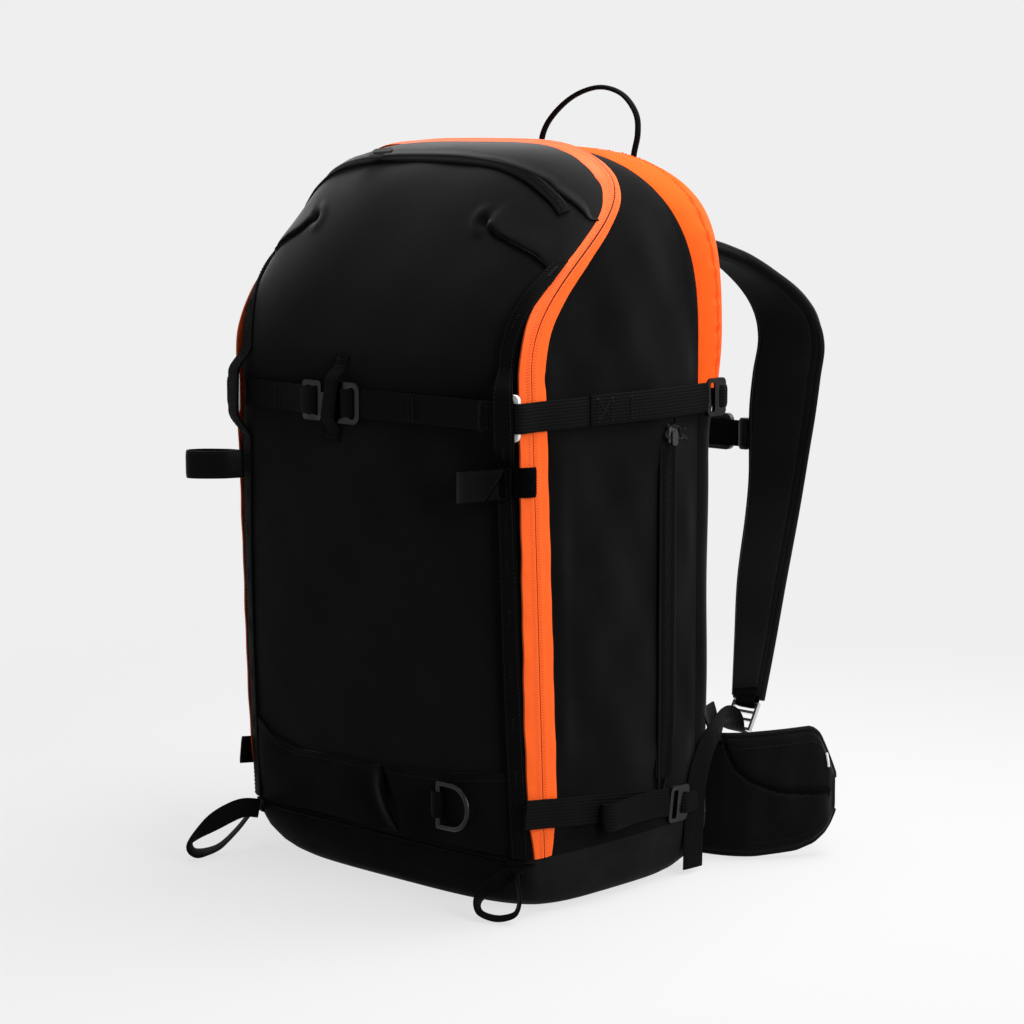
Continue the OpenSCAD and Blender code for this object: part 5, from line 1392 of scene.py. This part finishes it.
def make_hip_fins():
    pts = [(0, 0), (24, 1), (48, 10), (67, 30), (81, 52), (89, 70)]
    line = even(smooth([(FIN_X + x, FIN_Y + y, 0) for x, y in pts], 10), 1.6)[:, :2]
    count, cols = len(line), 41
    k, v = np.linspace(0, 1, count), np.linspace(0, 1, cols)
    low, high = np.interp(k, *zip(*FIN_LOW)), np.interp(k, *zip(*FIN_HIGH))
    t = unit(np.gradient(line, axis=0))
    out = points(t[:, 1], -t[:, 0], 0)
    puff = (1 - np.abs(2 * v - 1)**5)**0.5
    ends = 0.45 + 0.55 * ease(k / 0.05) * ease((1 - k) / 0.06)
    z = low[:, None] + (high - low)[:, None] * v[None]
    quilt = 0.5 * np.sin(k * 31)[:, None] * np.sin(np.pi * v)[None]
    quilt = quilt + 0.35 * np.sin(k * 17 + 2)[:, None] * np.sin(2 * np.pi * v)[None]
    deep = (0.2 + 0.8 * puff[None] * ends[:, None]) * FIN_T / 2
    smile = smooth([(a, b, 0) for a, b in FIN_POCKET], 12)
    along = smile[:, 0]
    up = (smile[:, 1] - np.interp(along, k, low)) / np.interp(along, k, high - low)
    patch = (ease((k - 0.27) / 0.06) * ease((0.98 - k) / 0.08))[:, None]
    gap = v[None] - np.interp(k, along, up)[:, None]
    bag = 2.0 * ease((0.02 - gap) / 0.05) * ease((v[None] - 0.02) / 0.3) - 1.2 * bell(gap - 0.02, 0.018)

    def at(off):
        return points(line[:, 0, None] + out[:, 0, None] * off, line[:, 1, None] + out[:, 1, None] * off, z)

    face = at(np.minimum(deep + quilt * puff[None] + patch * bag, FIN_T / 2 + 2.4))
    rear, middle = at(-deep), at(0 * deep)
    inner = rear[3:-3, 3:-3] - 0.5 * out[3:-3, None]
    rim = np.concatenate([middle[:, 0], middle[-1, 1:-1], middle[::-1, -1]])
    lines = [face[4:-4, j] + out[4:-4] * 0.2 for j in (4, 36)]
    normal = on_grid(out[:, None].repeat(cols, 1), along, up)
    zipped = on_grid(face, along, up) + normal * 0.5
    wide = np.cross(unit(np.gradient(zipped, axis=0)), normal)
    tip = [(84, 62, 48), (83, 75, 48), (70, 87, 47), (50, 96, 46)]
    tip = smooth([(FIN_X + x, FIN_Y + y, h) for x, y, h in tip], 8)
    hinge = points(FIN_X, FIN_Y, np.linspace(16, 82, 20))
    tag = on_grid(face, np.array([0.925, 0.932, 0.935]), np.array([0.93, 0.86, 0.80]))
    tag = smooth(tag + out[int(0.93 * count)] * 1.2, 5)
    for name, side in SIDES:
        m = np.array((side, 1, 1))
        body = f"fin_{name}"
        piece = sandwich(f"hip_fin_{name}", face * m, rear * m, pad_look, body, [f"hip_fin_{name}"])
        sandwich(f"fin_mesh_{name}", inner * m, (inner + out[3:-3, None]) * m, mesh_look, body)
        tube(f"fin_binding_{name}", rim * m, 4.8, bind_look, body, sides=10, step=3)
        stitches(f"fin_stitches_{name}", [p * m for p in lines], dark_thread_look, body, pitch=3.4, d=0.55)
        band(f"fin_zip_{name}", zipped * m, wide * m, 7, coil_look, body, thick=1.0, step=1.6, across=9)
        band(f"belt_webbing_{name}", tip * m, UPRIGHT, 30, web_look, body, thick=WEB_T + 0.4)
        tube(f"fin_root_{name}", hinge * m, FIN_T, pad_look, body, sides=24, step=4)
        tube(f"fin_pull_{name}", tag * m, 2.0, pale_plastic, body, sides=8, step=1)


make_hip_fins()


# Airbag system inside: folded bag, cartridge strap and the handle's sheath
UNIT_X, UNIT_Y, UNIT_Z = -70.0, 46.0, REAR_TOP - 158
GAS_D, GAS_L = 50.0, 165.0
GAS_Z = UNIT_Z - 14 - GAS_L


def make_airbag():
    v = np.linspace(0.13, 0.87, 40)
    grid = over_arch(gusset_point, np.linspace(1.0, 2, 130), v)
    out = grid_out(grid)
    run = np.linspace(0, 1, len(grid))[:, None]
    pleat = 2.2 * np.abs(np.sin(np.pi * v[None] * 7 + 0.6 * np.sin(run * 40))) + 0.5 * np.sin(run * 160)
    top = grid - out * (7.0 - pleat)[..., None]
    low = grid - out * (19.5 + pleat)[..., None]
    piece = sandwich("folded_airbag", top, low, bag_look, "pack", ["folded_airbag"])


def make_cartridge_strap():
    r, rear = GAS_D / 2 + 1.4, BACK_Y - 6.4 - UNIT_Y
    arc = [(r * math.cos(a), r * math.sin(a)) for a in np.radians(np.linspace(64, -244, 60))]
    path = [(13, rear), (12.6, r + 2), *arc, (-12.6, r + 2), (-13, rear)]
    path = [(UNIT_X + dx, UNIT_Y + dy, GAS_Z + 72.5) for dx, dy in path]
    band("cartridge_strap", path, UPRIGHT, 25, web_look, "pack", ["cartridge_strap"], step=2)


def make_sheath():
    x, y = -CHEST_X - PAD_W / 2, CHEST_Y + PAD_T / 2 + 7
    z0 = lerp(PAD_END, ROOT_Z, 0.5796)
    corners = 48
    a = 2 * np.pi * np.arange(corners) / corners
    r = round_r(a, 5.0)
    levels = [(0.0, 1.0), (1.0, 1.03), (3.0, 1.0), (20, 0.985), (40, 0.98), (46, 0.95), (49, 0.85),
              (50, 0.62)]

    def ring(half_x, half_y, h, k):
        return points(x + half_x * k * r * np.cos(a), y + half_y * k * r * np.sin(a), z0 + h)

    outer = [ring(17, 6.6, h, k) for h, k in levels[::-1]]
    inner = [ring(14.6, 4.7, min(h, 47.5), k) for h, k in levels]
    rows = np.array(outer + inner)
    m = len(rows)
    uv = np.stack([np.tile(np.linspace(0, 90, corners), m), np.repeat(np.linspace(0, 100, m), corners)],
                  axis=1)
    build("handle_sheath", rows.reshape(-1, 3), closed_faces(m, corners), pad_look, "pack", ["handle_sheath"],
          uv)


make_airbag()
make_cartridge_strap()
make_sheath()


# CAD nodes that are shown as they are, with small bevels to catch the light
FINISH = {
    black_metal: ["front_hook", "upper_hook_right", "upper_hook_left", "lower_hook_right", "lower_hook_left",
                  "d_ring"],
    black_plastic: ["front_zip_slider", "pocket_zip_slider", "side_zip_slider", "sternum_buckle",
                    "hip_buckle_right", "hip_buckle_left"],
    pale_plastic: ["edge_ring_right", "edge_ring_left"],
    bright_metal: ["strap_buckle_right", "strap_buckle_left", "piercing_pin"],
    unit_metal: ["inflation_unit"],
    gas_metal: ["cartridge"],
    red_plastic: ["release_lever", "release_handle"],
    cable_look: ["release_cable"],
    sheet_plastic: ["frame_sheet"],
}
BEVEL_MM, BEVEL_DEG = 0.5, 40
WIDER = {"release_handle": 2.5, "sternum_buckle": 1.0, "hip_buckle_right": 1.8, "hip_buckle_left": 1.8,
         "inflation_unit": 1.2}
for look, names in FINISH.items():
    for name in names:
        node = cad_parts[name]
        node.data.materials.clear()
        node.data.materials.append(look)
        edge = node.modifiers.new("soft_edges", "BEVEL")
        edge.width = WIDER.get(name, BEVEL_MM) * MM
        edge.segments = 3
        edge.limit_method = "ANGLE"
        edge.angle_limit = math.radians(BEVEL_DEG)
        edge.harden_normals = True
        node.data.shade_smooth()
        node.data.set_sharp_from_angle(angle=math.radians(BEVEL_DEG))


# Studio: pale floor, soft light from above and the right, camera at the photo's view
PALE = 0.863                            # the backdrop as the camera sees it
WORLD_LIGHT = 0.08                      # what the world gives to the object
PAPER_LIT, PAPER_SEEN = 0.25, 0.82      # the floor's white: as it bounces light, and as it shows
FLOOR_HALF, FLOOR_DROP = 4.0, 0.0004
FLOOR_FADE = (0.3, 1.1, 0.8, 1.0)       # near and far distance, share of plain backdrop at each
LAMPS = [                               # name, place, aim, width, height, watts
    ("lamp_top", (0.25, 0.45, 1.8), (0, -0.05, 0.4), 1.2, 1.2, 44),
    ("lamp_rear", (0.6, 1.4, 1.2), (0, 0, 0.4), 1.0, 1.0, 8),
    ("lamp_right", (1.9, -0.1, 0.9), (0, 0, 0.25), 0.9, 1.4, 30),
    ("lamp_front", (-0.9, -2.0, 1.0), (0, 0, 0.25), 1.4, 1.4, 1.5),
]
VIEW_TURN, VIEW_TILT, VIEW_REACH = math.radians(43.16), math.radians(7.81), 2.029
VIEW_AIM, VIEW_LENS, VIEW_SHIFT = Vector((0, 0.043, 0.253)), 96.88, (-0.02046, -0.00518)


def seen_rays(tree):
    """1 for the rays that show the backdrop: straight to the camera, by a gloss or through glass."""
    path = add_node(tree, "ShaderNodeLightPath")
    total = path.outputs["Is Camera Ray"]
    for name in ("Is Glossy Ray", "Is Transmission Ray"):
        both = add_node(tree, "ShaderNodeMath", [(0, total), (1, path.outputs[name])], operation="MAXIMUM")
        total = both.outputs[0]
    return total


def make_floor():
    h, z = FLOOR_HALF, -FLOOR_DROP
    mesh = bpy.data.meshes.new("floor")
    mesh.from_pydata([(-h, -h, z), (h, -h, z), (h, h, z), (-h, h, z)], [], [(0, 1, 2, 3)])
    floor = bpy.data.objects.new("floor", mesh)
    bpy.context.scene.collection.objects.link(floor)
    mat = bpy.data.materials.new("floor_paper")
    mat.use_nodes = True
    tree = mat.node_tree
    seen = seen_rays(tree)
    paper = add_node(tree, "ShaderNodeMix", [("Factor", seen)], A=PAPER_LIT, B=PAPER_SEEN)
    bsdf = tree.nodes["Principled BSDF"]
    bsdf.inputs["Roughness"].default_value = 0.9
    bsdf.inputs["Specular IOR Level"].default_value = 0.1
    tree.links.new(paper.outputs["Result"], bsdf.inputs["Base Color"])
    place = add_node(tree, "ShaderNodeTexCoord").outputs["Object"]
    away = add_node(tree, "ShaderNodeVectorMath", [(0, place)], operation="LENGTH").outputs["Value"]
    fade = add_node(tree, "ShaderNodeMapRange", [(0, away)], interpolation_type="SMOOTHSTEP")
    for index, value in enumerate(FLOOR_FADE, 1):
        fade.inputs[index].default_value = value
    share = add_node(tree, "ShaderNodeMath", [(0, seen), (1, fade.outputs[0])], operation="MULTIPLY")
    glow = add_node(tree, "ShaderNodeEmission", Color=(PALE, PALE, PALE, 1))
    ends = [(0, share.outputs[0]), (1, bsdf.outputs[0]), (2, glow.outputs[0])]
    mix = add_node(tree, "ShaderNodeMixShader", ends)
    tree.links.new(mix.outputs[0], tree.nodes["Material Output"].inputs["Surface"])
    mesh.materials.append(mat)
    return floor


def make_stage():
    world = bpy.context.scene.world or bpy.data.worlds.new("studio")
    bpy.context.scene.world = world
    world.use_nodes = True
    tree = world.node_tree
    ground = tree.nodes["Background"]
    ground.inputs["Color"].default_value = (1, 1, 1, 1)
    seen = add_node(tree, "ShaderNodeMix", [("Factor", seen_rays(tree))], A=WORLD_LIGHT, B=PALE)
    tree.links.new(seen.outputs["Result"], ground.inputs["Strength"])
    floor = make_floor()
    for name, spot, aim, w, h, power in LAMPS:
        data = bpy.data.lights.new(name, "AREA")
        data.shape = "RECTANGLE"
        data.size, data.size_y, data.energy = w, h, power
        lamp = bpy.data.objects.new(name, data)
        lamp.location = spot
        lamp.rotation_euler = (Vector(aim) - Vector(spot)).to_track_quat("-Z", "Y").to_euler()
        bpy.context.scene.collection.objects.link(lamp)


def make_camera():
    side, ahead = math.sin(VIEW_TURN), math.cos(VIEW_TURN)
    level = math.cos(VIEW_TILT)
    back = Vector((side * level, -ahead * level, math.sin(VIEW_TILT)))
    right = Vector((ahead, side, 0))
    data = bpy.data.cameras.new("photo_view")
    data.sensor_fit = "HORIZONTAL"
    data.sensor_width = 36
    data.lens = VIEW_LENS
    data.shift_x, data.shift_y = VIEW_SHIFT
    camera = bpy.data.objects.new("photo_view", data)
    bpy.context.scene.collection.objects.link(camera)
    axes = Matrix((right, back.cross(right), back)).transposed().to_4x4()
    camera.matrix_world = Matrix.Translation(VIEW_AIM + back * VIEW_REACH) @ axes
    bpy.context.scene.camera = camera


make_stage()
make_camera()
bpy.context.scene.view_settings.view_transform = "Standard"
